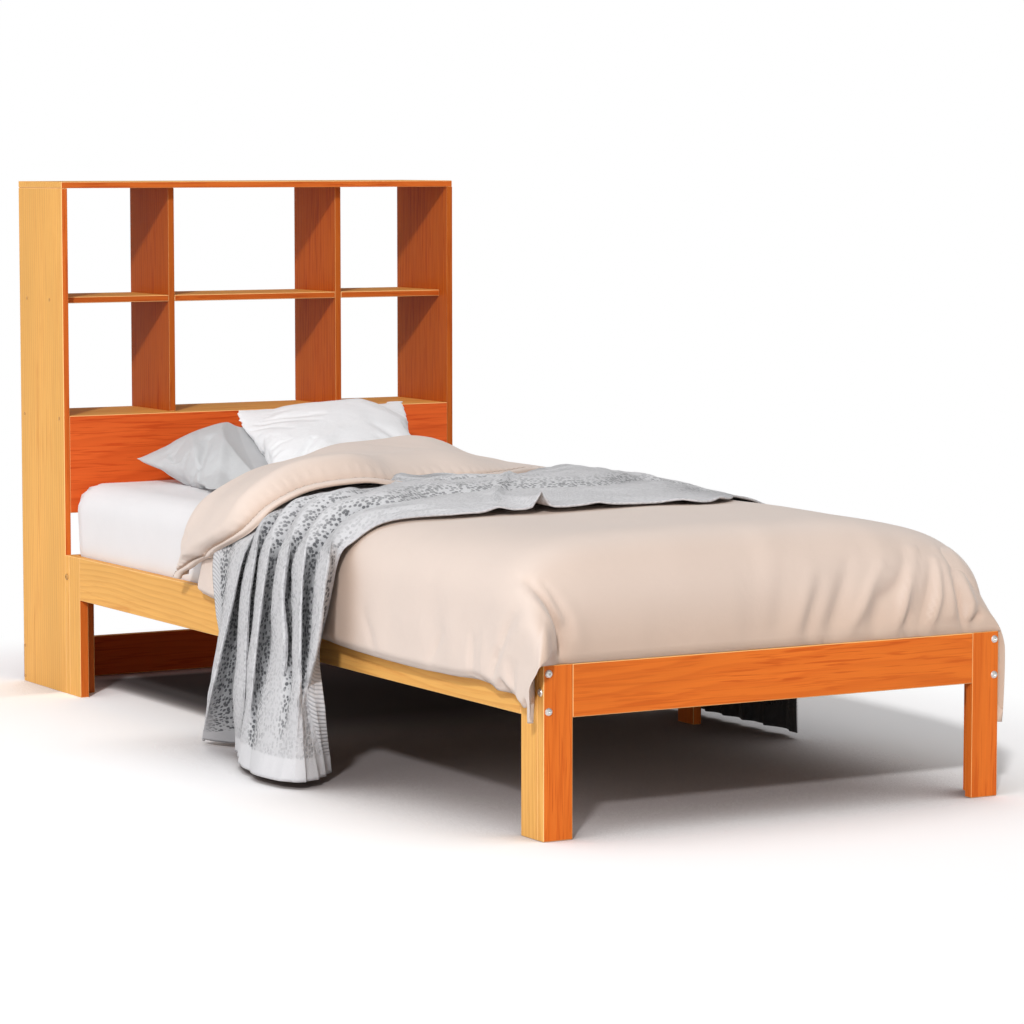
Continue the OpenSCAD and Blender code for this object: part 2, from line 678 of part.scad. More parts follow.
// Rows of the duvet, from the foot to the head: [outer point, inner point] at p
function foot_row(p, t) = let (b = 90 * (1 - t), c = 180 * max(t - 0.5, 0), wall = min(2 * t, 1)) [
    duvet_skin(p, foot_face + foot_round * (1 - pow(sin(b), 2 / 3)), pow(cos(b), 2 / 3)),
    duvet_lining(p, mix(foot_tuck[0], foot_tuck[1], wall) + foot_lining_r * (1 - cos(c)),
        mix(tuck_z, rest_z - foot_lining_r, wall) + foot_lining_r * sin(c))];
function body_row(p, y_out, y_in) = [duvet_skin(p, y_out), duvet_lining(p, y_in, rest_z)];
function head_row(p, t) = let (
    y = crease_y(p) - head_round * (1 - t),
    i = duvet_lining(p, y, rest_z))
    [mix(i, duvet_skin(p, y), mix(lining_share, 1, sqrt(1 - t * t))), i];
function duvet_rows(p) = let (
    y0 = foot_face + foot_round, i0 = foot_tuck[1] + foot_lining_r,
    y1 = fold_y(p), y2 = y1 + fold_ramp, y3 = crease_y(p) - head_round) concat(
    [for (j = [0 : foot_n]) foot_row(p, j / foot_n)],
    [for (j = [1 : body_n]) body_row(p, mix(y0, y1, j / body_n), mix(i0, y1, j / body_n))],
    [for (j = [1 : ramp_n]) let (y = mix(y1, y2, j / ramp_n)) body_row(p, y, y)],
    [for (j = [1 : band_n]) let (y = mix(y2, y3, j / band_n)) body_row(p, y, y)],
    [for (j = [1 : head_n]) head_row(p, j / head_n)]);
module duvet() {
    columns = [for (p = duvet_p) duvet_rows(p)];
    rows = [0 : len(columns[0]) - 1];
    color("peachpuff") sheet([for (j = rows) [for (c = columns) c[j][0]]],
        [for (j = rows) [for (c = columns) c[j][1]]]);
}

// Throw: w runs over its width from -1 at the foot side to 1 at the head side
function throw_y(p, w) = y_case - lookup(p, throw_back) + w * lookup(p, throw_half);
function pleat(w) = (1 - cos(180 * pleat_count * (w + 1))) / 2;
function throw_drop(s, t, w, lift) = let (
    p = s * hang_p, y = throw_y(p, w), top = duvet_skin(p, y),
    floor_y = y_case - throw_floor_back[s < 0 ? 0 : 1] + w * throw_floor_half) [
    s * (abs(top[0]) + lift + throw_flare * pow(t, 1.3) + pleat_d * pleat(w) * smooth(2.5 * t)),
    mix(y, floor_y, pow(t, 1.5)), mix(top[2], throw_hem_z, t)];
function throw_row(w, lift) = concat(
    [for (i = [throw_drop_n : -1 : 1]) throw_drop(-1, i / throw_drop_n, w, lift)],
    [for (p = duvet_p) if (abs(p) <= hang_p) duvet_skin(p, throw_y(p, w), 1, lift)],
    [for (i = [1 : throw_drop_n]) throw_drop(1, i / throw_drop_n, w, lift)]);
module throw_blanket() {
    ws = [for (i = [0 : throw_cols]) 2 * i / throw_cols - 1];
    color("lightgray") sheet([for (w = ws) throw_row(w, throw_gap + throw_t)],
        [for (w = ws) throw_row(w, throw_gap)]);
}

// Pillows: a crowned cushion with its sides pulled in between its corners. The grey one lies on the mattress
// under a sloping lid, and the white one lies on that lid and leans on the headboard panel.
function lid(x, y) = mattress_top + max(soft_gap + pillow_rim + lid_gap, min(lid_top, lid_at[2]
    + lid_slope[0] * (x - lid_at[0]) + lid_slope[1] * (y - y_case + lid_at[1])));
function pillow_mid(at, turn, tilt, size, u, v) = let (
    a = size[0] / 2 * u * (1 - pillow_pull * (1 - v * v) * abs(u)),
    b = size[1] / 2 * v * (1 - pillow_pull * (1 - u * u) * abs(v)),
    c = b * cos(tilt)) [
    at[0] + a * cos(turn) - c * sin(turn),
    min(y_case - at[1] + a * sin(turn) + c * cos(turn), y_case - soft_gap),
    mattress_top + at[2] + b * sin(tilt)];
function pillow_half(t, u, v) = (t * sqrt((1 - pow(u, 4)) * (1 - pow(v, 4))) + pillow_rim) / 2;
function ends(n) = [for (i = [0 : n]) sin(90 * (2 * i / n - 1))];
function grey_point(u, v, up) = let (
    m = pillow_mid(grey_at, grey_turn, grey_tilt, [grey_w, grey_d], u, v), h = pillow_half(grey_t, u, v),
    z0 = max(min(m[2], lid(m[0], m[1]) - lid_gap - pillow_rim) - h, rest_z))
    [m[0], m[1], up ? max(min(m[2] + h, lid(m[0], m[1]) - lid_gap), z0 + pillow_rim) : z0];
function white_point(u, v, up) = let (
    m = pillow_mid(white_at, white_turn, white_tilt, [white_w, white_d], u, v), h = pillow_half(white_t, u, v),
    z0 = max(m[2] - h, lid(m[0], m[1]) + soft_gap))
    [m[0], m[1], up ? max(m[2] + h, z0 + pillow_rim) : z0];
module pillow_grey() {
    color("silver") sheet([for (v = ends(pillow_n[1])) [for (u = ends(pillow_n[0])) grey_point(u, v, true)]],
        [for (v = ends(pillow_n[1])) [for (u = ends(pillow_n[0])) grey_point(u, v, false)]]);
}
module pillow_white() {
    color("whitesmoke") sheet([for (v = ends(pillow_n[1])) [for (u = ends(pillow_n[0])) white_point(u, v, true)]],
        [for (v = ends(pillow_n[1])) [for (u = ends(pillow_n[0])) white_point(u, v, false)]]);
}

case_side(-1);  // case_side_left
case_side(1);  // case_side_right
case_top();
case_bottom_shelf();
headboard_panel();
divider(-1);  // divider_left
divider(1);  // divider_right
outer_shelf(-1);  // shelf_left
shelf_center();
outer_shelf(1);  // shelf_right
plinth_board();
case_screws();
case_dowels();
link_brackets();
bracket_screws();
side_rail(-1);  // side_rail_left
side_rail(1);  // side_rail_right
foot_rail();
head_rail();
foot_leg_face(-1);  // foot_leg_left_face
foot_leg_side(-1);  // foot_leg_left_side
foot_leg_face(1);  // foot_leg_right_face
foot_leg_side(1);  // foot_leg_right_side
head_leg_face(-1);  // head_leg_left_face
head_leg_side(-1);  // head_leg_left_side
head_leg_face(1);  // head_leg_right_face
head_leg_side(1);  // head_leg_right_side
mid_leg(-1);  // mid_leg_left
mid_leg(1);  // mid_leg_right
slat_ledger(-1);  // slat_ledger_left
slat_ledger(1);  // slat_ledger_right
foot_bolts();
head_bolts();
side_bolts();
barrel_nuts();
frame_dowels();
ledger_screws();
slat_screws();
for (k = [0 : slat_count - 1]) slat(k);
mattress();
duvet();
throw_blanket();
pillow_grey();
pillow_white();
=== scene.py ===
import bpy
import bmesh
import math
import numpy as np
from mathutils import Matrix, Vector


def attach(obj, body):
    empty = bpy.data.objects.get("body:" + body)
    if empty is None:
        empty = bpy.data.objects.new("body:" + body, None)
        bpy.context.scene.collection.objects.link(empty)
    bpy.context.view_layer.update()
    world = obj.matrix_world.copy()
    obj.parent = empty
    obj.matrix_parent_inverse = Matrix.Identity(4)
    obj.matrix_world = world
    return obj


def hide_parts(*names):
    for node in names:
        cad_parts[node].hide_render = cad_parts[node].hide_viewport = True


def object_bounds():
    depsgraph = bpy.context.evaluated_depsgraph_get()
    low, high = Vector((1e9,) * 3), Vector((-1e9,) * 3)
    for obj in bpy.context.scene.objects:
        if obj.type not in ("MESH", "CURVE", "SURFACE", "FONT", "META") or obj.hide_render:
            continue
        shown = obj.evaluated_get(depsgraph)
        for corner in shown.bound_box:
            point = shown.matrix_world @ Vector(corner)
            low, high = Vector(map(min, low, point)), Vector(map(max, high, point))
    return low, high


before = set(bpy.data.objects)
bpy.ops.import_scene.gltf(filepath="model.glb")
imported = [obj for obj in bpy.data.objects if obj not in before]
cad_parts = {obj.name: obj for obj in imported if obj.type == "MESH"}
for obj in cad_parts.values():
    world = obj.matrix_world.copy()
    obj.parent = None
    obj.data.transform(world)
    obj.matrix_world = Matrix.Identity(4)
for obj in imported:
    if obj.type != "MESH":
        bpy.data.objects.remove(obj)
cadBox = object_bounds()
scene = bpy.context.scene
mm = 0.001

# camera, lamps and floor, in metres
view = {
    "place": (-3.6453, -6.5912, 1.1568),
    "yaw": 0.51844, "pitch": 0.09395,    # turned right from +Y, and tipped down, in radians
    "focal": 3763.2, "image": 1024,      # in pixels
    "sensor": 36.0,
}

light = {
    "world": 0.62, "worldDim": 0.17,     # strength on the bright side and on the far side
    "worldFrom": (-0.55, -0.55, 0.62),
    "sun": 1.82, "sunFrom": (-0.54, -0.68, 0.49), "sunAngle": 4,
    # wide panel lamp at the left
    "left": 31.0, "leftSize": (3.5, 2.2), "leftPlace": (-4.2, -0.9, 1.9), "leftAim": (0, 0, 0.5),
    "floorNear": 0.9, "floorFar": 2.2,   # distances from the bed over which the floor fades to white
    "floorGain": 1.55,                   # it is this much paler to the camera than to the light it throws back
    "shade": 0.9,                        # reach of the ambient occlusion that paints shade under the bed
    "shadeColor": (0.255, 0.228, 0.225),
    "floorColor": (0.80, 0.795, 0.80),
}


def newObject(name, data):
    made = bpy.data.objects.new(name, data)
    scene.collection.objects.link(made)
    return made


def makeCamera():
    data = bpy.data.cameras.new("camera")
    data.sensor_fit = "HORIZONTAL"
    data.sensor_width = view["sensor"]
    data.lens = view["focal"] * view["sensor"] / view["image"]
    data.clip_end = 100
    cam = newObject("camera", data)
    cam.location = view["place"]
    cam.rotation_euler = (math.pi / 2 - view["pitch"], 0, -view["yaw"])
    scene.camera = cam


class Wire:                    # an output socket that can be added, subtracted and multiplied
    def __init__(self, graph, socket):
        self.graph, self.socket = graph, socket

    def __add__(self, other):
        return self.graph.math("ADD", self, other)

    def __mul__(self, other):
        return self.graph.math("MULTIPLY", self, other)

    def __sub__(self, other):
        return self.graph.math("SUBTRACT", self, other)

    def __rsub__(self, other):
        return self.graph.math("SUBTRACT", other, self)

    __radd__, __rmul__ = __add__, __mul__


class Graph:                   # short calls for building a node tree
    def __init__(self, tree):
        self.tree = tree
        tree.nodes.clear()

    def node(self, kind, inputs=None, **settings):
        made = self.tree.nodes.new(kind)
        for key, value in settings.items():
            setattr(made, key, value)
        for key, value in (inputs or {}).items():
            if isinstance(value, Wire):
                self.tree.links.new(value.socket, made.inputs[key])
            elif value is not None:
                made.inputs[key].default_value = value
        return made

    def out(self, node, name=0):
        return Wire(self, node.outputs[name])

    def math(self, operation, a, b=None):
        return self.out(self.node("ShaderNodeMath", {0: a, 1: b}, operation=operation))

    def most(self, first, *others):
        for value in others:
            first = self.math("MAXIMUM", first, value)
        return first

    def vector(self, operation, a, b=None):
        made = self.node("ShaderNodeVectorMath", {0: a, 1: b}, operation=operation)
        return self.out(made, "Value" if operation in ("DOT_PRODUCT", "LENGTH") else "Vector")

    def mix(self, factor, a, b, blend="MIX"):
        a, b = (value if isinstance(value, Wire) else (*value, 1) for value in (a, b))
        made = self.node("ShaderNodeMix", {0: factor, 6: a, 7: b}, data_type="RGBA", blend_type=blend,
                         clamp_factor=True)
        return self.out(made, 2)

    def spread(self, value, low, high, toLow=0.0, toHigh=1.0, smooth=True):
        ends = {"Value": value, "From Min": low, "From Max": high, "To Min": toLow, "To Max": toHigh}
        made = self.node("ShaderNodeMapRange", ends, interpolation_type="SMOOTHSTEP" if smooth else "LINEAR")
        return self.out(made, "Result")

    def noise(self, vector, scale, detail=2.0, roughness=0.5, distortion=0.0):
        made = self.node("ShaderNodeTexNoise", {"Vector": vector, "Scale": scale, "Detail": detail,
                                                "Roughness": roughness, "Distortion": distortion})
        return self.out(made, "Fac")

    def place(self, kind="Object"):
        return self.out(self.node("ShaderNodeTexCoord"), kind)

    def split(self, vector):
        made = self.node("ShaderNodeSeparateXYZ", {0: vector})
        return [self.out(made, axis) for axis in range(3)]

    def join(self, x, y, z):
        return self.out(self.node("ShaderNodeCombineXYZ", {0: x, 1: y, 2: z}))

    def bump(self, height, strength, depth, under=None):
        return self.out(self.node("ShaderNodeBump", {"Height": height, "Strength": strength, "Distance": depth,
                                                     "Normal": under}))

    def show(self, shader):
        self.node("ShaderNodeOutputMaterial", {"Surface": self.out(shader)})

    def surface(self, inputs):
        self.show(self.node("ShaderNodeBsdfPrincipled", inputs))


def newMaterial(name):
    material = bpy.data.materials.new(name)
    material.use_nodes = True
    return material, Graph(material.node_tree)


def paint(thing, material):
    thing.data.materials.clear()
    thing.data.materials.append(material)


def makeWorld():
    world = bpy.data.worlds.new("studio")
    scene.world = world
    world.use_nodes = True
    g = Graph(world.node_tree)
    side = g.vector("DOT_PRODUCT", g.place("Generated"), Vector(light["worldFrom"]).normalized())
    strength = g.spread(side, -0.5, 0.9, light["worldDim"], light["world"])
    strength = g.most(strength, g.out(g.node("ShaderNodeLightPath"), "Is Camera Ray"))
    back = g.node("ShaderNodeBackground", {"Color": (1, 1, 1, 1), "Strength": strength})
    g.node("ShaderNodeOutputWorld", {"Surface": g.out(back)})


def makeLamps():
    sun = bpy.data.lights.new("sun", "SUN")
    sun.energy = light["sun"]
    sun.angle = math.radians(light["sunAngle"])
    newObject("sun", sun).rotation_euler = Vector(light["sunFrom"]).to_track_quat("Z", "Y").to_euler()
    panel = bpy.data.lights.new("leftPanel", "AREA")
    panel.shape = "RECTANGLE"
    panel.size, panel.size_y = light["leftSize"]
    panel.energy = light["left"]
    lamp = newObject("leftPanel", panel)
    lamp.location = light["leftPlace"]
    aim = Vector(light["leftAim"]) - Vector(light["leftPlace"])
    lamp.rotation_euler = aim.to_track_quat("-Z", "Y").to_euler()


# white far away; near the bed it is a real surface that keeps the bed's shadow, with more shade painted on from ambient
# occlusion and from masks
def floorMaterial():
    material, g = newMaterial("floor")
    x, y = g.split(g.place())[:2]
    low, high = cadBox
    # it turns white sooner to the right of the bed and behind it
    outX = g.most((low.x - x) * g.spread(y, -0.2, 0.6, 1.0, 4.0), (x - high.x) * 3.0)
    outY = g.most(low.y - y, (y - high.y) * 3.0)
    away = g.vector("LENGTH", g.join(g.most(outX, 0.0), g.most(outY, 0.0), 0.0))
    far = g.spread(away, light["floorNear"], light["floorFar"])
    # painted shade: the floor darkens where ambient occlusion finds the bed over it
    shade = g.node("ShaderNodeAmbientOcclusion", {"Distance": light["shade"]}, samples=8)
    # painted light and shade: at the head end the floor is painted lit under the rail as far as a line, and painted
    # dark beyond it
    head = g.spread(y, -0.1, 0.35)
    paintedLight = g.spread(x, -0.38, -0.32, 0.94, 0.0) * head * g.spread(y, 0.90, 0.99, 1.0, 0.0)
    deep = g.spread(x, -0.38, -0.28) * (head * 0.85)
    deep = deep * g.spread(y, 1.04, 1.1, 1.0, 0.0) * g.spread(x, 0.3, 0.5, 1.0, 0.0)
    bright = g.most(g.spread(g.out(shade, "AO"), 0.14, 0.88), paintedLight) * (1.0 - deep)
    rays = g.node("ShaderNodeLightPath")
    seen = g.most(g.out(rays, "Is Camera Ray"), g.out(rays, "Is Glossy Ray"))
    gain = g.spread(seen, 0, 1, 1.0, light["floorGain"], smooth=False) * (1.0 - deep * 0.85)
    shaded = [c * s for c, s in zip(light["shadeColor"], light["floorColor"])]
    color = g.vector("MULTIPLY", g.mix(bright, shaded, light["floorColor"]), g.join(gain, gain, gain))
    real = g.node("ShaderNodeBsdfDiffuse", {"Color": color})
    white = g.node("ShaderNodeEmission", {"Color": (1, 1, 1, 1)})
    g.show(g.node("ShaderNodeMixShader", {0: far * seen, 1: g.out(real), 2: g.out(white)}))
    return material


def makeFloor():
    reach = 40                 # metres from the middle to each side
    mesh = bpy.data.meshes.new("floor")
    mesh.from_pydata([(-reach, -reach, 0), (reach, -reach, 0), (reach, reach, 0), (-reach, reach, 0)], [],
                     [(0, 1, 2, 3)])
    floor = newObject("floor", mesh)
    mesh.materials.append(floorMaterial())


pine = {
    # golden is the orange wax painted lighter, as the side lit from the left
    "litGolden": (0.885, 0.475, 0.128), "orange": (0.81, 0.186, 0.022), "deep": (0.74, 0.122, 0.020),
    # inner and dark are the wax painted darker as shade: inside the bookcase's compartments, and on the plinth down by
    # the floor
    "case": (0.66, 0.140, 0.018), "inner": (0.48, 0.105, 0.010), "shelf": (0.55, 0.112, 0.012),
    "dark": (0.50, 0.085, 0.012), "raw": (0.80, 0.60, 0.36),
    "top": (0.92, 0.52, 0.13),           # upward faces, painted lighter as if lit from above
    "edge": (1.0, 0.62, 0.26),           # painted highlight along the bevelled edges
    "stain": (0.72, 0.48, 0.36),         # what rings and streaks multiply the colour by
    "knot": (0.42, 0.20, 0.12), "knotScale": 2.2,
    "ringSpacing": 0.0105, "pithDepth": 0.16,
    "bevel": 2.0 * mm,
}


# grain runs along the axis named by along; side colours the face that points to outer in X, front the others; the
# golden side tone is painted light, the wax as lit from the left, and the front tone is the same wax shaded
def pineMaterial(name, along, side, front, outer=0, seed=0, knots=0.0):
    material, g = newMaterial(name)
    parts = g.split(g.place())
    grain = "xyz".index(along)
    across = [i for i in range(3) if i != grain]
    shift = [math.sin(seed * 12.9 + k * 4.1) * 0.5 for k in range(3)]       # no two boards are alike
    u, v = parts[across[0]] + shift[0], parts[across[1]] + shift[1]
    w = parts[grain] + shift[2] * 3

    def drawnOut(share, *rest):
        return g.noise(g.join(u, v, w * share), *rest)

    # growth rings of a board sawn near the heart, wandering slowly along its length
    slow = g.noise(g.join(u * 2.0, v * 2.0, w * 0.9), 1.3)
    ringU = u + ((slow - 0.5) * 0.10 + (drawnOut(0.10, 34.0, 2.0, 0.6) - 0.5) * 0.012)
    ringV = v + pine["pithDepth"]
    radius = g.math("SQRT", ringU * ringU + ringV * ringV)
    phase = g.math("FRACT", g.math("DIVIDE", radius, pine["ringSpacing"]))
    ring = g.math("POWER", phase, 2.0) * (1.0 - g.spread(phase, 0.82, 1.0))
    # broken streaks, fine fibre and broad cloudiness, all drawn out along the grain
    patch = drawnOut(0.22, 7.0, 2.0, 0.55)
    fiber = drawnOut(0.02, 420.0, 2.0, 0.6)
    lines = g.spread(drawnOut(0.055, 85.0, 3.0, 0.6, 0.35), 0.52, 0.78) * g.spread(patch, 0.35, 0.7, 0.15, 1.0)
    thin = g.spread(drawnOut(0.04, 210.0, 2.0, 0.5, 0.5), 0.52, 0.66) * g.spread(patch, 0.3, 0.6, 0.35, 1.0)
    facing = g.place("Normal")
    signed, normal = g.split(facing), g.split(g.vector("ABSOLUTE", facing))
    base, thinShare = front, 0.8
    # painted light: the outer X face takes the lit golden tone, the other faces the shaded front tone
    if outer:
        turned = normal[0] if outer == 2 else signed[0] * float(outer)
        base, thinShare = g.mix(g.spread(turned, 0.35, 0.85), front, side), g.spread(turned, 0.35, 0.85, 0.8, 0.25)
    # painted light: upward faces are mixed towards the paler top tone
    if front != pine["raw"]:
        base = g.mix(g.spread(signed[2], 0.5, 0.95, 0.0, 0.8), base, pine["top"])
    color, stain = base, g.mix(1.0, base, pine["stain"], "MULTIPLY")
    for share in (ring * 0.46, lines * 0.85, thin * thinShare):
        color = g.mix(share, color, stain)
    bright = (fiber - 0.5) * 0.16 + (patch - 0.5) * 0.30 + 1.0
    color = g.mix(1.0, color, g.join(bright, bright, bright), "MULTIPLY")
    if knots:
        spots = g.node("ShaderNodeTexVoronoi", {"Vector": g.join(u, v, w * 0.7), "Scale": knots}, feature="F1")
        near = g.spread(g.out(spots, "Distance"), 0.02, 0.055)
        color = g.mix(near, g.mix(1.0, base, pine["knot"], "MULTIPLY"), color)
    # painted highlight: bevel faces, found by their slanted normals, are mixed towards the pale edge colour
    color = g.mix(g.spread(g.most(*normal), 0.985, 0.90) * 0.8, color, pine["edge"])
    g.surface({"Base Color": color, "Specular IOR Level": 0.16,
               "Roughness": g.spread(fiber, 0.2, 0.8, 0.48, 0.62, smooth=False),
               "Normal": g.bump(fiber * 0.6 + lines * -0.4, 0.25, 0.0005)})
    return material


# node: grain axis, which X side shows the golden outer face (painted light), tone of the other faces; inner is painted
# shade inside the compartments and dark is painted shade on the plinth
boards = {
    "case_side_left": ("z", -1, "case"), "case_side_right": ("z", 1, "inner"),
    "case_top": ("x", 2, "case"), "case_bottom_shelf": ("x", 0, "case"), "headboard_panel": ("x", 0, "deep"),
    "divider_left": ("z", 0, "inner"), "divider_right": ("z", 0, "inner"),
    "shelf_left": ("x", 0, "shelf"), "shelf_center": ("x", 0, "shelf"), "shelf_right": ("x", 0, "shelf"),
    "plinth_board": ("x", 0, "dark"),
    "side_rail_left": ("y", -1, "orange"), "side_rail_right": ("y", 1, "orange"),
    "foot_rail": ("x", 0, "orange"), "head_rail": ("x", 0, "orange"),
    "foot_leg_left_face": ("z", -1, "orange"), "foot_leg_left_side": ("z", -1, "orange"),
    "foot_leg_right_face": ("z", 1, "orange"), "foot_leg_right_side": ("z", 1, "orange"),
    "head_leg_left_face": ("z", -1, "case"), "head_leg_left_side": ("z", -1, "case"),
    "head_leg_right_face": ("z", 1, "case"), "head_leg_right_side": ("z", 1, "case"),
    "mid_leg_left": ("z", -1, "orange"), "mid_leg_right": ("z", 1, "orange"),
    "slat_ledger_left": ("y", 0, "raw"), "slat_ledger_right": ("y", 0, "raw"),
}


def modify(thing, name, kind, **settings):
    made = thing.modifiers.new(name, kind)
    for key, value in settings.items():
        setattr(made, key, value)
    return made


def dressWood():
    for number, (node, (along, outer, tone)) in enumerate(boards.items()):
        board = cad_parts[node]
        paint(board, pineMaterial("pine_" + node, along, pine["litGolden"], pine[tone], outer, number + 1,
                                  pine["knotScale"] if number % 3 == 0 else 0.0))
        modify(board, "weld", "WELD", merge_threshold=0.00002)
        modify(board, "flat", "DECIMATE", decimate_type="DISSOLVE", angle_limit=math.radians(1))
        # beside the right panel's screw marks an unclamped edge would cross itself
        modify(board, "edges", "BEVEL", width=pine["bevel"], segments=2, limit_method="ANGLE",
               angle_limit=math.radians(50), use_clamp_overlap=node == "case_side_right")
        modify(board, "level", "WEIGHTED_NORMAL", weight=100)
    raw = pineMaterial("pine_raw", "x", pine["raw"], pine["raw"], 0, 3)
    for node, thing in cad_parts.items():
        if node.startswith("slat_") and node[-1].isdigit() or node.endswith("_dowels"):
            paint(thing, raw)


metal = {
    "zinc": ((0.60, 0.59, 0.57), (0.86, 0.85, 0.83)),
    "lacquer": (0.50, 0.25, 0.06), "lacquerFrom": 0.5,       # on the head legs, from this y on
    "plug": ((0.70, 0.36, 0.09), (0.58, 0.27, 0.06)),
    "plugged": ("case_screws", "head_bolts"),
    "bare": ("link_brackets", "bracket_screws", "foot_bolts", "side_bolts", "barrel_nuts", "ledger_screws",
             "slat_screws"),
}


def steelMaterial():
    material, g = newMaterial("zincSteel")
    place = g.place()
    smear = g.noise(place, 320.0, 3.0, 0.6)
    painted = g.spread(g.split(place)[1], metal["lacquerFrom"], metal["lacquerFrom"] + 0.1)
    g.surface({"Base Color": g.mix(painted, g.mix(smear, *metal["zinc"]), metal["lacquer"]),
               "Metallic": g.spread(painted, 0.0, 1.0, 0.9, 0.0),
               "Roughness": g.spread(smear, 0.3, 0.7, 0.28, 0.46, smooth=False)})
    return material


def plugMaterial():
    material, g = newMaterial("screwCover")
    g.surface({"Base Color": g.mix(g.noise(g.place(), 600.0), *metal["plug"]), "Roughness": 0.5})
    return material


def dressMetal():
    steel, plug = steelMaterial(), plugMaterial()
    for nodes, material in ((metal["plugged"], plug), (metal["bare"], steel)):
        for node in nodes:
            paint(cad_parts[node], material)


# from here on lengths are in mm, and p is a share of the half width, from -1 at the left hem to 1 at the right one
bed = {
    "footY": -1145.75, "frameFoot": -1125.75,    # outer face of the foot legs, and inner face of the foot rail
    "caseY": 909.25,                             # front of the headboard
    "railTop": 302.0, "tuckZ": 302.6,
    "restZ": 460.3,                              # what lies on the mattress starts here
    "mattressGap": 7.5,                          # between the foot rail and the mattress
}


def smooth(t):
    t = np.clip(t, 0, 1)
    return t * t * (3 - 2 * t)


def blend(a, b, t):
    return a + (b - a) * t


# smooth line through the rows' (x, value) points
def curve(x, rows):
    rows = np.array(rows, float)
    xs, ys = rows[:, 0], rows[:, 1]
    slope = np.gradient(ys, xs)
    x = np.clip(x, xs[0], xs[-1])
    i = np.clip(np.searchsorted(xs, x, side="right") - 1, 0, len(xs) - 2)
    h = xs[i + 1] - xs[i]
    t = (x - xs[i]) / h
    return ((2 * t ** 3 - 3 * t ** 2 + 1) * ys[i] + (t ** 3 - 2 * t ** 2 + t) * h * slope[i]
            + (3 * t ** 2 - 2 * t ** 3) * ys[i + 1] + (t ** 3 - t ** 2) * h * slope[i + 1])


# smooth random values from -1 to 1 on a plane, one hill for each unit
def cloud(x, y, seed):
    grid = np.random.default_rng(seed).uniform(-1, 1, (64, 64))
    xi, yi = np.floor(x).astype(int), np.floor(y).astype(int)
    fx, fy = smooth(x - xi), smooth(y - yi)
    a, b = grid[xi % 64, yi % 64], grid[(xi + 1) % 64, yi % 64]
    c, d = grid[xi % 64, (yi + 1) % 64], grid[(xi + 1) % 64, (yi + 1) % 64]
    return blend(blend(a, b, fx), blend(c, d, fx), fy)


# unit normals of a grid of points [row, column, xyz]
def gridNormals(grid):
    across, along = np.gradient(grid, axis=1), np.gradient(grid, axis=0)
    n = np.cross(across, along)
    return n / np.maximum(np.linalg.norm(n, axis=2, keepdims=True), 1e-9)


# the same, turned so that they point up in the middle of the grid
def upNormals(grid):
    normal = gridNormals(grid)
    return normal if normal[len(grid) // 2, grid.shape[1] // 2, 2] > 0 else -normal


# distance along each line of the grid from its first point
def arcs(grid, axis=0):
    step = np.linalg.norm(np.diff(grid, axis=axis), axis=-1)
    start = np.zeros_like(grid[..., 0]).take([0], axis)
    return np.concatenate([start, np.cumsum(step, axis=axis)], axis)


# share of the way from a to b, and distance, of each point's nearest point on that line
def nearLine(points, a, b):
    t = np.clip(((points - a) @ (b - a)) / ((b - a) @ (b - a)), 0, 1)
    return t, np.linalg.norm(points - (a + t[..., None] * (b - a)), axis=-1)


# height at each point of folds given as (start, end, half width, height)
def foldPush(points, folds):
    total = np.zeros(points.shape[:-1])
    for start, end, wide, high in folds:
        t, away = nearLine(points, np.array(start, float), np.array(end, float))
        total += high * np.exp(-(away / wide) ** 2) * (0.35 + 0.65 * np.sin(np.pi * np.clip(t, 0.04, 0.96)) ** 0.6)
    return total


# height at each point of bent folds given as (points of the line, half width, height)
def lineFolds(points, lines):
    total = np.zeros(points.shape[:-1])
    for path, wide, high in lines:
        path = np.array(path, float)
        spans = np.linalg.norm(np.diff(path, axis=0), axis=1)
        starts = np.concatenate([[0], np.cumsum(spans)])
        best, where = np.full(total.shape, 1e9), np.zeros(total.shape)
        for a, b, span, start in zip(path[:-1], path[1:], spans, starts):
            t, away = nearLine(points, a, b)
            where = np.where(away < best, (start + t * span) / starts[-1], where)
            best = np.minimum(best, away)
        total += high * np.exp(-(best / wide) ** 2) * np.sin(np.pi * np.clip(where * 0.75, 0.05, 0.75)) ** 0.6
    return total


# a smooth piece with its faces outwards
def newPiece(name, points, faces, material):
    mesh = bpy.data.meshes.new(name)
    mesh.from_pydata((points * mm).tolist(), [], faces)
    mesh.validate()
    mesh.polygons.foreach_set("use_smooth", [True] * len(mesh.polygons))
    mesh.materials.append(material)
    shape = bmesh.new()
    shape.from_mesh(mesh)
    bmesh.ops.recalc_face_normals(shape, faces=shape.faces)
    shape.to_mesh(mesh)
    shape.free()
    mesh.update()
    return newObject(name, mesh)


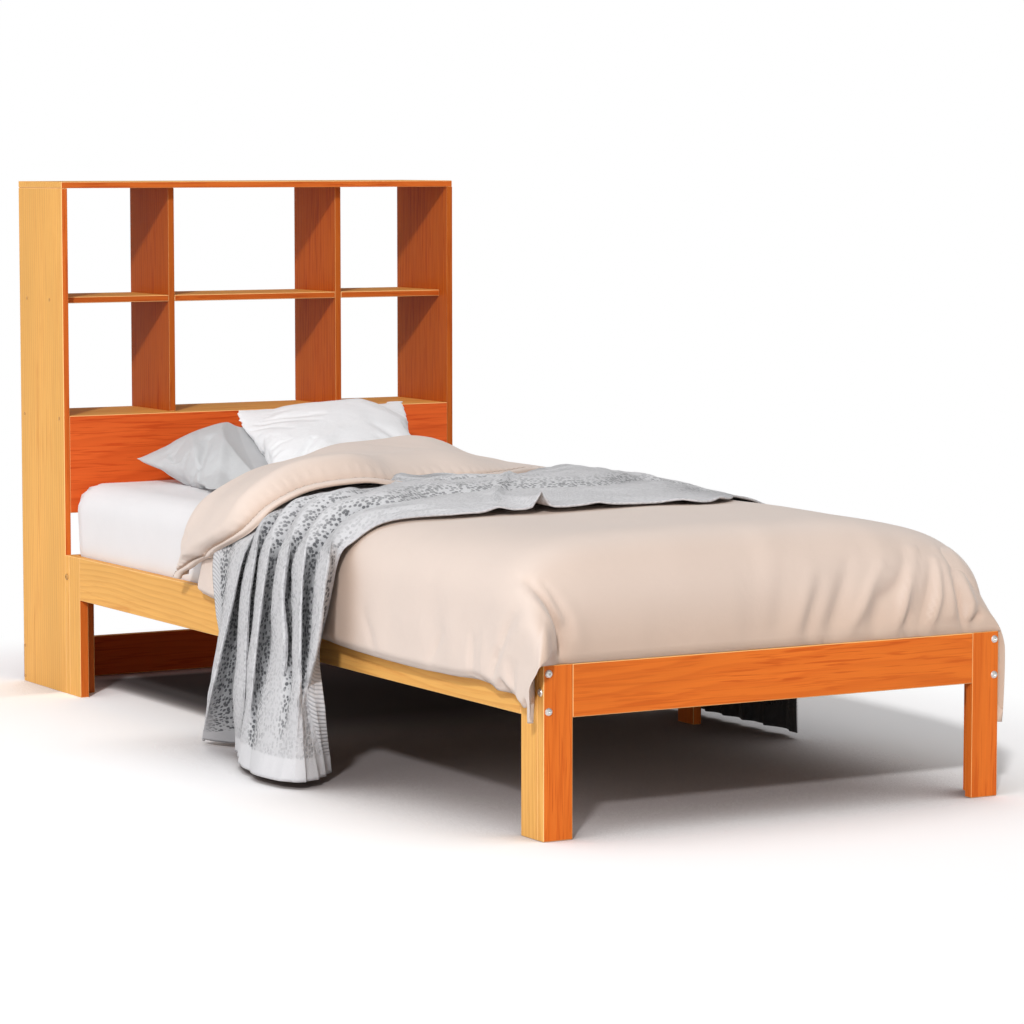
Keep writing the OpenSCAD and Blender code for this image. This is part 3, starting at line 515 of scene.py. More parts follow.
# a closed shell between two grids of points; uv and values are given for each grid point
def closedSheet(name, outer, inner, material, uv=None, values=None):
    rows, columns = outer.shape[:2]
    count = rows * columns
    index = np.arange(count).reshape(rows, columns)
    a, b, c, d = index[:-1, :-1], index[:-1, 1:], index[1:, 1:], index[1:, :-1]
    top = np.stack([a, b, c, d], -1).reshape(-1, 4)
    under = np.stack([a, d, c, b], -1).reshape(-1, 4) + count
    edge = np.concatenate([index[0, :], index[1:, -1], index[-1, -2::-1], index[-2:0:-1, 0]])
    after = np.roll(edge, -1)
    rim = np.stack([edge, edge + count, after + count, after], -1)
    points = np.concatenate([outer.reshape(-1, 3), inner.reshape(-1, 3)])
    made = newPiece(name, points, np.concatenate([top, under, rim]).tolist(), material)
    mesh = made.data
    if uv is not None:
        corners = np.zeros(len(mesh.loops), np.int32)
        mesh.loops.foreach_get("vertex_index", corners)
        layer = mesh.uv_layers.new(name="cloth")
        layer.data.foreach_set("uv", np.tile(uv.reshape(-1, 2), (2, 1))[corners].ravel())
    for key, value in (values or {}).items():
        layer = mesh.attributes.new(key, "FLOAT", "POINT")
        layer.data.foreach_set("value", np.tile(value.ravel(), 2).astype(np.float32))
    return made


# plain woven cloth; weave is the thread spacing, crumple the spacing of its soft wrinkles, all in metres
def clothMaterial(name, color, weave, weaveDepth, crumple, crumpleDepth, sheen, tint=0.05, dark=0.75, deep=None):
    material, g = newMaterial(name)
    place = g.place()
    x, y, z = g.split(place)
    waves = [g.math("SINE", axis * (2 * math.pi / weave)) for axis in (x, y, z)]
    threads = waves[0] * waves[1] + waves[2] * waves[1]
    soft = g.noise(place, 1 / crumple, 3.0, 0.55, 0.6)
    slub = g.noise(place, 1 / (weave * 6), 2.0, 0.6)
    low = [c * dark for c in color]
    base = g.mix(g.spread(soft, 0.2, 0.8) * (tint * 2), color, low)
    base = g.mix(g.spread(slub, 0.3, 0.8, 0.0, tint, smooth=False), base, low)
    if deep:                   # painted shade: warmer and darker in the folds where ambient occlusion finds them, and low on the foot face
        shade = g.node("ShaderNodeAmbientOcclusion", {"Distance": 0.16}, samples=6)
        facing = g.split(g.out(g.node("ShaderNodeNewGeometry"), "Normal"))
        foot = g.spread(facing[1] * -1.0, 0.3, 0.85) * g.spread(z, 0.305, 0.44, 0.8, 0.3)
        base = g.mix(g.most(g.spread(g.out(shade, "AO"), 0.35, 0.97, 0.85, 0.0), foot), base, deep)
    wide = g.bump(soft, 0.6, crumpleDepth)
    g.surface({"Base Color": base, "Roughness": 0.85, "Specular IOR Level": 0.25, "Sheen Weight": sheen,
               "Sheen Roughness": 0.5, "Normal": g.bump(threads + slub * 1.5, 0.5, weaveDepth, wide)})
    return material


mattress = {
    "wide": 920.0, "long": 2027.0, "high": 205.0, "bottom": 255.0, "foot": -1118.25,
    "corner": 32.0, "edge": 60.0,        # roundings seen from above and from the side
    "waist": 2.0, "ripple": 2.2,
    "color": (0.85, 0.83, 0.84),
    "cloth": {"weave": 0.0016, "weaveDepth": 0.0002, "crumple": 0.05, "crumpleDepth": 0.0016, "sheen": 0.2,
              "tint": 0.03},
}


# rings of a rounded rectangle, from the middle of the underside round to the middle of the top
def makeMattress():
    m = mattress
    sides, arc = 60, 14        # points of a ring for each side and of each corner
    bottom, top, edge = m["bottom"], m["bottom"] + m["high"], m["edge"]
    middleY = m["foot"] + m["long"] / 2

    def ring(inset, z):
        radius = max(m["corner"] - inset, 4)
        halfX, halfY = m["wide"] / 2 - inset - radius, m["long"] / 2 - inset - radius
        points = []
        for cx, cy, start in ((1, 1, 0), (-1, 1, 90), (-1, -1, 180), (1, -1, 270)):
            for k in range(arc + 1):
                t = math.radians(start + 90 * k / arc)
                points.append((cx * halfX + radius * math.cos(t), cy * halfY + radius * math.sin(t)))
        line = np.array(points + points[:1])
        step = arcs(line)
        at = np.linspace(0, step[-1], sides * 4 + 1)[:-1]
        x, y = np.interp(at, step, line[:, 0]), np.interp(at, step, line[:, 1])
        return np.stack([x, y + middleY, np.full_like(x, z)], -1)

    flatInsets = (430, 300, 180, 110, 75)
    quarter = [math.radians(90 * k / 8) for k in range(9)]
    levels = [(inset, bottom) for inset in flatInsets]
    levels += [(m["waist"] + edge * (1 - math.sin(a)), bottom + edge * (1 - math.cos(a))) for a in quarter]
    for z in np.linspace(bottom + edge, top - edge, 8)[1:-1]:
        levels.append((m["waist"] * (1 - (z - bottom - edge) / (m["high"] - 2 * edge)), z))
    levels += [(edge * (1 - math.cos(a)), top - edge * (1 - math.sin(a))) for a in quarter]
    levels += [(inset, top) for inset in flatInsets[::-1]]
    grid = np.array([ring(*level) for level in levels])
    rows, columns = grid.shape[:2]
    normal = gridNormals(np.concatenate([grid, grid[:, :1]], axis=1))[:, :-1]
    if (normal[rows // 2, 0] @ (grid[rows // 2, 0] - [0, middleY, 350])) < 0:
        normal = -normal
    wave = cloud(grid[..., 1] / 90, grid[..., 0] / 90 + grid[..., 2] / 160, 5)
    tall = cloud(grid[..., 1] / 38 + 7, grid[..., 0] / 38 + grid[..., 2] / 400, 6)
    onSide = smooth(1 - np.abs(normal[..., 2]) * 1.2)
    push = m["ripple"] * (wave - 1) * 0.5 + 1.2 * (tall - 1) * onSide * 0.5
    push[:3] = push[-3:] = 0
    grid = grid + normal * push[..., None]
    x, y, z = grid[..., 0].copy(), grid[..., 1], grid[..., 2].copy()
    near = np.clip(1 - (y - m["foot"]) / 480, 0, 1)
    grid[..., 0] -= 1.15 * cornerInset(x, y, z)
    grid[..., 2] -= (30 + 22 * near) * smooth((x - 120) / 330) * smooth((z - 300) / 150) * smooth(near * 3)
    index = np.arange(rows * columns).reshape(rows, columns)
    after = np.roll(index, -1, axis=1)
    faces = np.stack([index[:-1], after[:-1], after[1:], index[1:]], -1).reshape(-1, 4).tolist()
    material = clothMaterial("mattressKnit", m["color"], **m["cloth"])
    cover = newPiece("mattress_cover", grid.reshape(-1, 3), faces + index[[0, -1]].tolist(), material)
    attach(cover, "root")
    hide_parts("mattress")


duvet = {
    "half": 510.5, "top": 498.0, "crown": 20.0,
    "roundX": 190.0, "roundZ": 120.0, "roundPower": 0.7,
    "flat": 0.35, "hang": 0.75,          # shares of the half width at which it starts to round and to hang
    "drop": 52.0, "rise": 50.0, "riseLength": 1400.0,            # the hem hangs over the rail, less so to the head
    "cornerDrop": (55.0, 120.0), "cornerLength": (40.0, 50.0),   # left and right foot corner
    "inside": 482.5, "insideRound": 62.0, "liningRound": 48.0,   # the lining
    "footFace": -1143.75, "footRound": 150.0, "headRound": 60.0,
    "around": 760.0,                     # from the middle round to the hem
    # the right side lies lower, and its foot corner is drawn in
    "sag": 32.0, "sagFrom": 155.0, "sagOver": 385.0,
    "corner": 52.0, "cornerReach": 460.0, "cornerFrom": 65.0, "cornerZ": (266.0, 372.0), "cornerLow": 0.38,
    # the left corner's loose cloth stands forward of the leg
    "lip": (50.0, 15.0), "lipX": (-503.0, 32.0), "lipZ": (190.0, 225.0, 262.0, 312.0, 360.0, 440.0),
    "columns": 230, "footRows": 60, "bodyRows": 200, "foldRows": 130,
    "color": (0.80, 0.665, 0.585),
    # deep is the colour of the painted shade in the folds and low on the foot face
    "cloth": {"weave": 0.0011, "weaveDepth": 0.0001, "crumple": 0.06, "crumpleDepth": 0.0018, "sheen": 0.3,
              "tint": 0.04, "dark": 0.8, "deep": (0.60, 0.43, 0.325)},
    # for each p, how far the fold and the folded-back edge are from the headboard
    "crease": [(-.94, 640), (-.85, 655), (-.75, 672), (-.6, 705), (-.45, 722), (-.3, 670), (-.15, 570), (0, 510),
               (.15, 480), (.45, 450), (.6, 360), (.75, 320), (1, 300)],
    "foldEdge": [(-.94, 674), (-.9, 688), (-.85, 729), (-.8, 769), (-.77, 806), (-.74, 864), (-.71, 938),
                 (-.68, 990), (-.65, 1019), (-.62, 1034), (-.57, 1045), (-.5, 1058), (-.43, 1059), (-.35, 1066),
                 (-.27, 1060), (-.2, 1036), (-.1, 1012), (0, 1000), (.1, 950), (.2, 876), (.3, 840), (.4, 780),
                 (.5, 680), (.6, 610), (.75, 560), (1, 540)],
    # what the left hem differs by along the bed
    "hemShift": [(-1150, 4), (-1140, 12), (-1128, 24), (-1112, 2), (-1092, 4), (-1075, 9), (-1052, 15), (-1030, 0),
                 (-1000, 7), (-967, 10), (-900, 4), (-800, 0), (0, 0)],
    # soft folds: start, end, half width and height
    "folds": [
        ((-512, -1101, 393), (-512, -1040, 305), 11, -6), ((-512, -1040, 315), (-512, -1020, 265), 9, -6),
        ((-512, -1122, 395), (-512, -1062, 285), 15, 5), ((-512, -1000, 340), (-512, -990, 262), 13, 4),
        ((-512, -957, 330), (-512, -950, 268), 10, -5), ((-512, -1088, 300), (-512, -1090, 240), 10, -6),
        ((-512, -850, 330), (-512, -800, 272), 9, -4), ((-512, -560, 330), (-512, -600, 262), 14, -3),
    ],
    # folds of the foot face: x and z of each line's points
    "footLines": [
        (((-478, 438), (-459, 393), (-447, 362), (-440, 303)), 9, -16),
        (((-492, 425), (-474, 390), (-464, 355), (-462, 335)), 12, 9),
        (((-458, 435), (-444, 408), (-430, 380), (-428, 355)), 8, -6), (((-470, 440), (-452, 400), (-441, 375)), 5, 4),
        (((-440, 415), (-415, 370), (-410, 330)), 18, 5),
        (((311, 456), (287, 409), (274, 381), (246, 312)), 9, 13), (((354, 434), (344, 371), (318, 308)), 8, 12),
        (((228, 432), (204, 405), (180, 364), (146, 318)), 12, 9), (((77, 435), (54, 365), (40, 330)), 16, 5),
        (((371, 450), (374, 375), (372, 340)), 12, 8), (((407, 417), (420, 355), (410, 330)), 12, 9),
        (((290, 437), (268, 400), (222, 370), (198, 306)), 17, -12), (((310, 385), (288, 346), (266, 303)), 9, -9),
        (((340, 425), (326, 378), (298, 306)), 9, -10), (((386, 408), (395, 368), (399, 327), (398, 310)), 8, -12),
        (((159, 439), (142, 397), (104, 308)), 15, -10), (((94, 411), (72, 359), (56, 308)), 13, -8),
        (((20, 440), (6, 380), (-4, 330)), 18, -3), (((401, 305), (415, 320), (436, 333)), 7, -9),
    ],
}


def arcAngle(p):
    return np.radians(90 * np.clip((duvet["hang"] - np.abs(p)) / (duvet["hang"] - duvet["flat"]), 0, 1))


def section(p, half, hem, top, rx, rz):
    q, a = np.abs(p), arcAngle(p)
    power = duvet["roundPower"]
    x = np.where(q > duvet["flat"], half - rx + rx * np.maximum(np.cos(a), 0) ** power, (half - rx) * q / duvet["flat"])
    z = np.where(q > duvet["hang"], blend(hem, top - rz, (1 - q) / (1 - duvet["hang"])),
                 top - rz + rz * np.sin(a) ** power)
    return np.sign(p) * x, z


def hemZ(p, y):
    d = y - bed["footY"]
    left = p < 0
    drop = np.where(left, duvet["cornerDrop"][0], duvet["cornerDrop"][1])
    reach = np.where(left, duvet["cornerLength"][0], duvet["cornerLength"][1])
    return (bed["railTop"] - duvet["drop"] + duvet["rise"] * np.clip(d / duvet["riseLength"], 0, 1) ** 2
            - drop * np.exp(-d / reach) + left * curve(y, duvet["hemShift"]))


# how far the foot corner on the right is drawn in
def cornerInset(x, y, z):
    d = duvet
    near = np.clip(1 - (y - d["footFace"]) / d["cornerReach"], 0, 1) ** 2
    low, high = d["cornerZ"]
    tall = blend(d["cornerLow"], 1, smooth((z - low) / (high - low)))
    return d["corner"] * near * tall * smooth((x - d["cornerFrom"]) / (d["half"] - d["cornerFrom"]))


# the duvet's outer face, at share p of its half width and at y, lifted outwards
def duvetSkin(p, y, f=1.0, lift=0.0):
    d = duvet
    top = blend(bed["tuckZ"], d["top"], f)
    x, z = section(p, d["half"], hemZ(p, y), top, d["roundX"], np.minimum(d["roundZ"], top - bed["railTop"]))
    a = arcAngle(p)
    z = z + f * d["crown"] * (1 - (x / d["half"]) ** 2) * np.sin(a)
    z = z - d["sag"] * smooth((x - d["sagFrom"]) / d["sagOver"]) * smooth((z - bed["railTop"]) / 120)
    x = x - cornerInset(x, y, z)
    return np.stack(np.broadcast_arrays(x + np.sign(p) * np.cos(a) * lift, y, z + np.sin(a) * lift), -1)


def duvetLining(p, y, top):
    r = np.minimum(duvet["insideRound"], np.maximum(top - bed["railTop"], 2))
    x, z = section(p, duvet["inside"], hemZ(p, y), top, r, r)
    return np.stack(np.broadcast_arrays(x, y, z), -1)


def makeDuvet(material):
    d = duvet
    p = np.linspace(-1, 1, d["columns"])[None, :]
    edgeY = bed["caseY"] - curve(p, d["crease"]) - d["headRound"] - 8
    # foot rows, from the rail up and over to the top
    t = np.linspace(0, 1, d["footRows"])[:, None]
    b = np.radians(90 * (1 - t))
    y = d["footFace"] + d["footRound"] * (1 - np.sin(b) ** (2 / 3)) + 0 * p
    foot = duvetSkin(p, y, np.maximum(np.cos(b), 0) ** (2 / 3) + 0 * p)
    c = np.radians(180 * np.maximum(t - 0.5, 0))
    wall = np.minimum(2 * t, 1)
    tuck = [bed["frameFoot"] + share * bed["mattressGap"] for share in (0.2, 0.7)]
    turn = d["liningRound"]
    footIn = duvetLining(p, blend(*tuck, wall) + turn * (1 - np.cos(c)) + 0 * p,
                         blend(bed["tuckZ"], bed["restZ"] - turn, wall) + turn * np.sin(c) + 0 * p)
    # body rows, along the top to the fold
    s = np.linspace(0, 1, d["bodyRows"] + 1)[1:, None]
    bodyY = blend(d["footFace"] + d["footRound"], edgeY, s)
    bodyInY = blend(tuck[1] + turn, edgeY - 6, s)
    outer = np.concatenate([foot, duvetSkin(p, bodyY)])
    inner = np.concatenate([footIn, duvetLining(p, bodyInY, bed["restZ"])])
    inner[..., 0] = np.where(p > 0.3, np.minimum(inner[..., 0], outer[..., 0] - 8), inner[..., 0])
    below = 8 * smooth((1 - p) / 0.1)
    inner[..., 2] = np.where(p > 0.1, np.minimum(inner[..., 2], outer[..., 2] - below), inner[..., 2])
    rows, normal = len(outer), upNormals(outer)
    x, yy, z = outer[..., 0], outer[..., 1], outer[..., 2]
    push = foldPush(outer, d["folds"])
    push += lineFolds(outer[..., [0, 2]], d["footLines"]) * smooth((d["footFace"] + 110 - yy) / 60)
    around = p * d["around"] + 0 * yy    # distance round the section from the middle
    push += 3.0 * cloud(around / 210, yy / 260, 11) + 1.3 * cloud(around / 90 + 3, yy / 120, 12)
    side = smooth((np.abs(p) - 0.62) / 0.25) + 0 * yy
    push += side * 2.5 * cloud(yy / 55, around / 300, 13)
    lowFoot = smooth((d["footFace"] + d["footRound"] * 0.8 - yy) / (d["footRound"] * 0.7)) * (1 - side)
    push += lowFoot * 2.5 * cloud(x / 48, z / 260, 14)
    # the hems turn in, and the last rows stay where they are tucked
    push -= 11 * (smooth((np.abs(p) - 0.955) / 0.045) + 0 * yy) ** 2
    push *= smooth((np.arange(rows) + 1) / 4.0)[:, None]
    head = smooth((np.arange(rows) - (rows - 8)) / 7.0)[:, None]
    outer = outer + normal * np.maximum(push, -19)[..., None]
    z0, z1, z2, z3, z4, z5 = d["lipZ"]
    lip = d["lip"][1] * smooth((z - z0) / (z1 - z0))
    lip = blend(lip, d["lip"][0], smooth((z - z2) / (z3 - z2))) * smooth((z5 - z) / (z5 - z4))
    lip = lip * np.exp(-((x - d["lipX"][0]) / d["lipX"][1]) ** 2) * smooth((d["footFace"] + 70 - yy) / 70)
    outer[..., 1] -= lip * smooth((np.arange(rows) + 1) / 3.0)[:, None]
    outer = blend(outer, inner, 0.93 * head[..., None] ** 2)
    made = closedSheet("duvet_body", outer, inner, material)
    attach(made, "root")
    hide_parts("duvet")


flap = {
    "from": -0.94,         # its hanging end stops short of the main layer's hem
    "flange": 30.0,        # width of the plain border outside the seam
    "flangeThick": 8.0, "groove": 6.0, "puff": (55.0, 150.0), "gap": 1.5, "overThrow": 18.0,
    "pucker": 2.0, "puckerLength": 19.0,
    # height over the main layer behind the seam and at the fold itself
    "body": [(-1, 12), (-.82, 18), (-.7, 30), (-.6, 40), (-.5, 47), (-.4, 54), (-.3, 56), (-.2, 54), (-.1, 52),
             (0, 50), (.08, 38), (.14, 20), (.22, 13), (.3, 10), (1, 9)],
    "crest": [(-1, 9), (-.75, 16), (-.6, 26), (-.45, 32), (-.35, 40), (-.25, 46), (-.15, 52), (0, 54), (.1, 56),
              (.14, 46), (.185, 22), (.25, 12), (.35, 9), (1, 9)],
    "folds": [
        ((-520, 225, 428), (-524, 118, 388), 8, -7), ((-518, 215, 400), (-524, 150, 372), 9, 5),
        ((-300, 190, 515), (-150, -10, 535), 22, 4), ((-60, 250, 565), (60, 60, 560), 30, -5),
        ((-420, 150, 480), (-330, 20, 500), 26, -4), ((120, 330, 560), (200, 160, 540), 28, 5),
    ],
}


def freeEdge(p):
    return bed["caseY"] - curve(p, duvet["foldEdge"])


def wavyEdge(p):
    return freeEdge(p) + 3 * cloud(p * 9, p * 0, 21)


def foldCrest(p):
    return bed["caseY"] - curve(p, duvet["crease"])


# height of the folded-back layer over the main one
def flapHeight(p, y):
    f = flap
    into = y - freeEdge(p)
    wide = np.maximum(foldCrest(p) - freeEdge(p), 20)
    full = blend(curve(p, f["body"]), curve(p, f["crest"]), smooth((into / wide - 0.4) / 0.45))
    border = f["flangeThick"] * np.sqrt(np.clip(1 - (1 - np.clip(into, 0, 8) / 8) ** 2, 0, 1))
    border = border + 2.0 * np.sin(np.pi * np.clip(into / f["flange"], 0, 1))
    puff = blend(*f["puff"], smooth((p + 0.4) / 0.4))
    rise = np.sin(0.5 * np.pi * np.clip((into - f["flange"]) / puff, 0, 1)) ** 0.8
    rise = np.maximum(full - f["flangeThick"], 0) * rise
    seam = f["groove"] * np.exp(-((into - f["flange"]) / 4.5) ** 2)
    return np.where(into < 0, 0, border + rise - seam)


# heights and points of the folded-back layer's upper side
def flapTop(p, y):
    f = flap
    creaseY = foldCrest(p)
    into = y - wavyEdge(p)
    # the free edge lies on the throw where that passes under it
    over = f["overThrow"] * smooth((p + 0.80) / 0.12) * smooth((-0.2 - p) / 0.14) * smooth(1 - into / 240)
    low = f["gap"] + over
    around = p * duvet["around"] + 0 * y
    wrinkle = 3.0 * cloud(around / 120, y / 140, 22) + 1.8 * cloud(around / 55, y / 80, 23)
    wrinkle = wrinkle * smooth((into - f["flange"]) / 60) * smooth((creaseY - y + into - 60) / 100)
    pucker = f["pucker"] * np.sin(2 * np.pi * around / f["puckerLength"] + 3 * cloud(around / 60, 0 * y, 24)) \
        * np.exp(-((into - f["flange"] - 7) / 14) ** 2)
    high = flapHeight(p, y) + wrinkle + pucker
    high = high + foldPush(duvetSkin(p, y, 1.0, high), f["folds"])
    return high, low, duvetSkin(p, y, 1.0, low + np.maximum(high, 2.5 * smooth(into / 6)))


stitches = {"spacing": 0.0085, "length": 0.0055, "thread": 0.0007, "fromSeam": 8.0, "above": 0.5,
            "color": (0.50, 0.37, 0.29)}


def threadMaterial():
    material, g = newMaterial("seamThread")
    twist = g.noise(g.place(), 1500.0, 2.0, 0.6)
    color = g.mix(twist, stitches["color"], [c * 0.7 for c in stitches["color"]])
    g.surface({"Base Color": color, "Roughness": 0.6, "Normal": g.bump(twist, 0.5, 0.0003)})
    return material


def stitchNodes():
    tree = bpy.data.node_groups.new("seamStitches", "GeometryNodeTree")
    for name, way, kind in (("Path", "INPUT", "Geometry"), ("Spacing", "INPUT", "Float"), ("Length", "INPUT", "Float"),
                            ("Thread", "INPUT", "Float"), ("Material", "INPUT", "Material"),
                            ("Stitches", "OUTPUT", "Geometry")):
        tree.interface.new_socket(name, in_out=way, socket_type="NodeSocket" + kind)
    add = tree.nodes.new
    given, result = add("NodeGroupInput"), add("NodeGroupOutput")
    line, points = add("GeometryNodeMeshToCurve"), add("GeometryNodeCurveToPoints")
    stitch, turn = add("GeometryNodeMeshCylinder"), add("FunctionNodeAlignEulerToVector")
    place, real = add("GeometryNodeInstanceOnPoints"), add("GeometryNodeRealizeInstances")
    rounded, finish = add("GeometryNodeSetShadeSmooth"), add("GeometryNodeSetMaterial")
    points.mode, turn.axis = "LENGTH", "Z"
    stitch.inputs["Vertices"].default_value = 6
    for source, output, target, entry in (
            (given, "Path", line, 0), (line, 0, points, "Curve"), (given, "Spacing", points, "Length"),
            (given, "Thread", stitch, "Radius"), (given, "Length", stitch, "Depth"),
            (points, "Tangent", turn, "Vector"), (points, "Points", place, "Points"),
            (stitch, "Mesh", place, "Instance"), (turn, 0, place, "Rotation"), (place, 0, real, 0),
            (real, 0, rounded, "Geometry"), (rounded, 0, finish, "Geometry"),
            (given, "Material", finish, "Material"), (finish, 0, result, 0)):
        tree.links.new(source.outputs[output], target.inputs[entry])
    return tree


def evaluatedMesh(thing):
    graph = bpy.context.evaluated_depsgraph_get()
    graph.update()
    return bpy.data.meshes.new_from_object(thing.evaluated_get(graph))


def makeStitches():
    p = np.linspace(flap["from"] + 0.012, 0.985, 520)[None, :]
    y = wavyEdge(p) + flap["flange"] - stitches["fromSeam"]
    high, low = flapTop(p, y)[:2]
    path = duvetSkin(p, y, 1.0, low + high + stitches["above"])[0] * mm
    mesh = bpy.data.meshes.new("fold_stitches")
    mesh.from_pydata(path.tolist(), [(i, i + 1) for i in range(len(path) - 1)], [])
    thing = newObject("fold_stitches", mesh)
    row = modify(thing, "stitches", "NODES", node_group=stitchNodes())
    values = {"Spacing": stitches["spacing"], "Length": stitches["length"], "Thread": stitches["thread"],
              "Material": threadMaterial()}
    for item in row.node_group.interface.items_tree:
        if item.in_out == "INPUT" and item.name in values:
            row[item.identifier] = values[item.name]
    thing.update_tag()
    plain = evaluatedMesh(thing)
    thing.modifiers.clear()
    thing.data = plain
    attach(thing, "root")
    print("stitches:", len(plain.polygons), "faces")


def makeFlap(material):
    d, f = duvet, flap
    p = np.linspace(f["from"], 1, d["columns"])[None, :]
    freeY, creaseY = wavyEdge(p), foldCrest(p)
    roll = np.minimum(d["headRound"], 0.42 * (creaseY - freeY))
    crestRows = 30
    y = blend(freeY, creaseY - roll, np.linspace(0, 1, d["foldRows"] - crestRows)[:, None] ** 1.5)
    high, low, top = flapTop(p, y)
    under = duvetSkin(p, y, 1.0, low + np.minimum(high * 0.12, 3) * smooth((y - freeY) / 6))
    # the fold itself, round to the height at which the layer lies
    t = np.linspace(0, 1, crestRows + 1)[1:, None]
    share = np.sqrt(np.maximum(1 - t * t, 0)) + 0 * p
    crestY, insideY = creaseY - roll * (1 - t), creaseY - roll + (roll - 0.43 * roll) * t
    crestHigh = flapHeight(p, crestY) + low[-1:] + (high[-1:] - flapHeight(p, y[-1:])) * (1 - t)
    crest, inside = (blend(duvetLining(p, at, bed["restZ"]), duvetSkin(p, at, 1.0, lift),
                           blend(least, 1, share)[..., None])
                     for at, lift, least in ((crestY, crestHigh, 0.05), (insideY, f["gap"], 0.03)))
    made = closedSheet("duvet_fold", np.concatenate([top, crest]), np.concatenate([under, inside]), material)
    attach(made, "root")
    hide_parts("duvet")


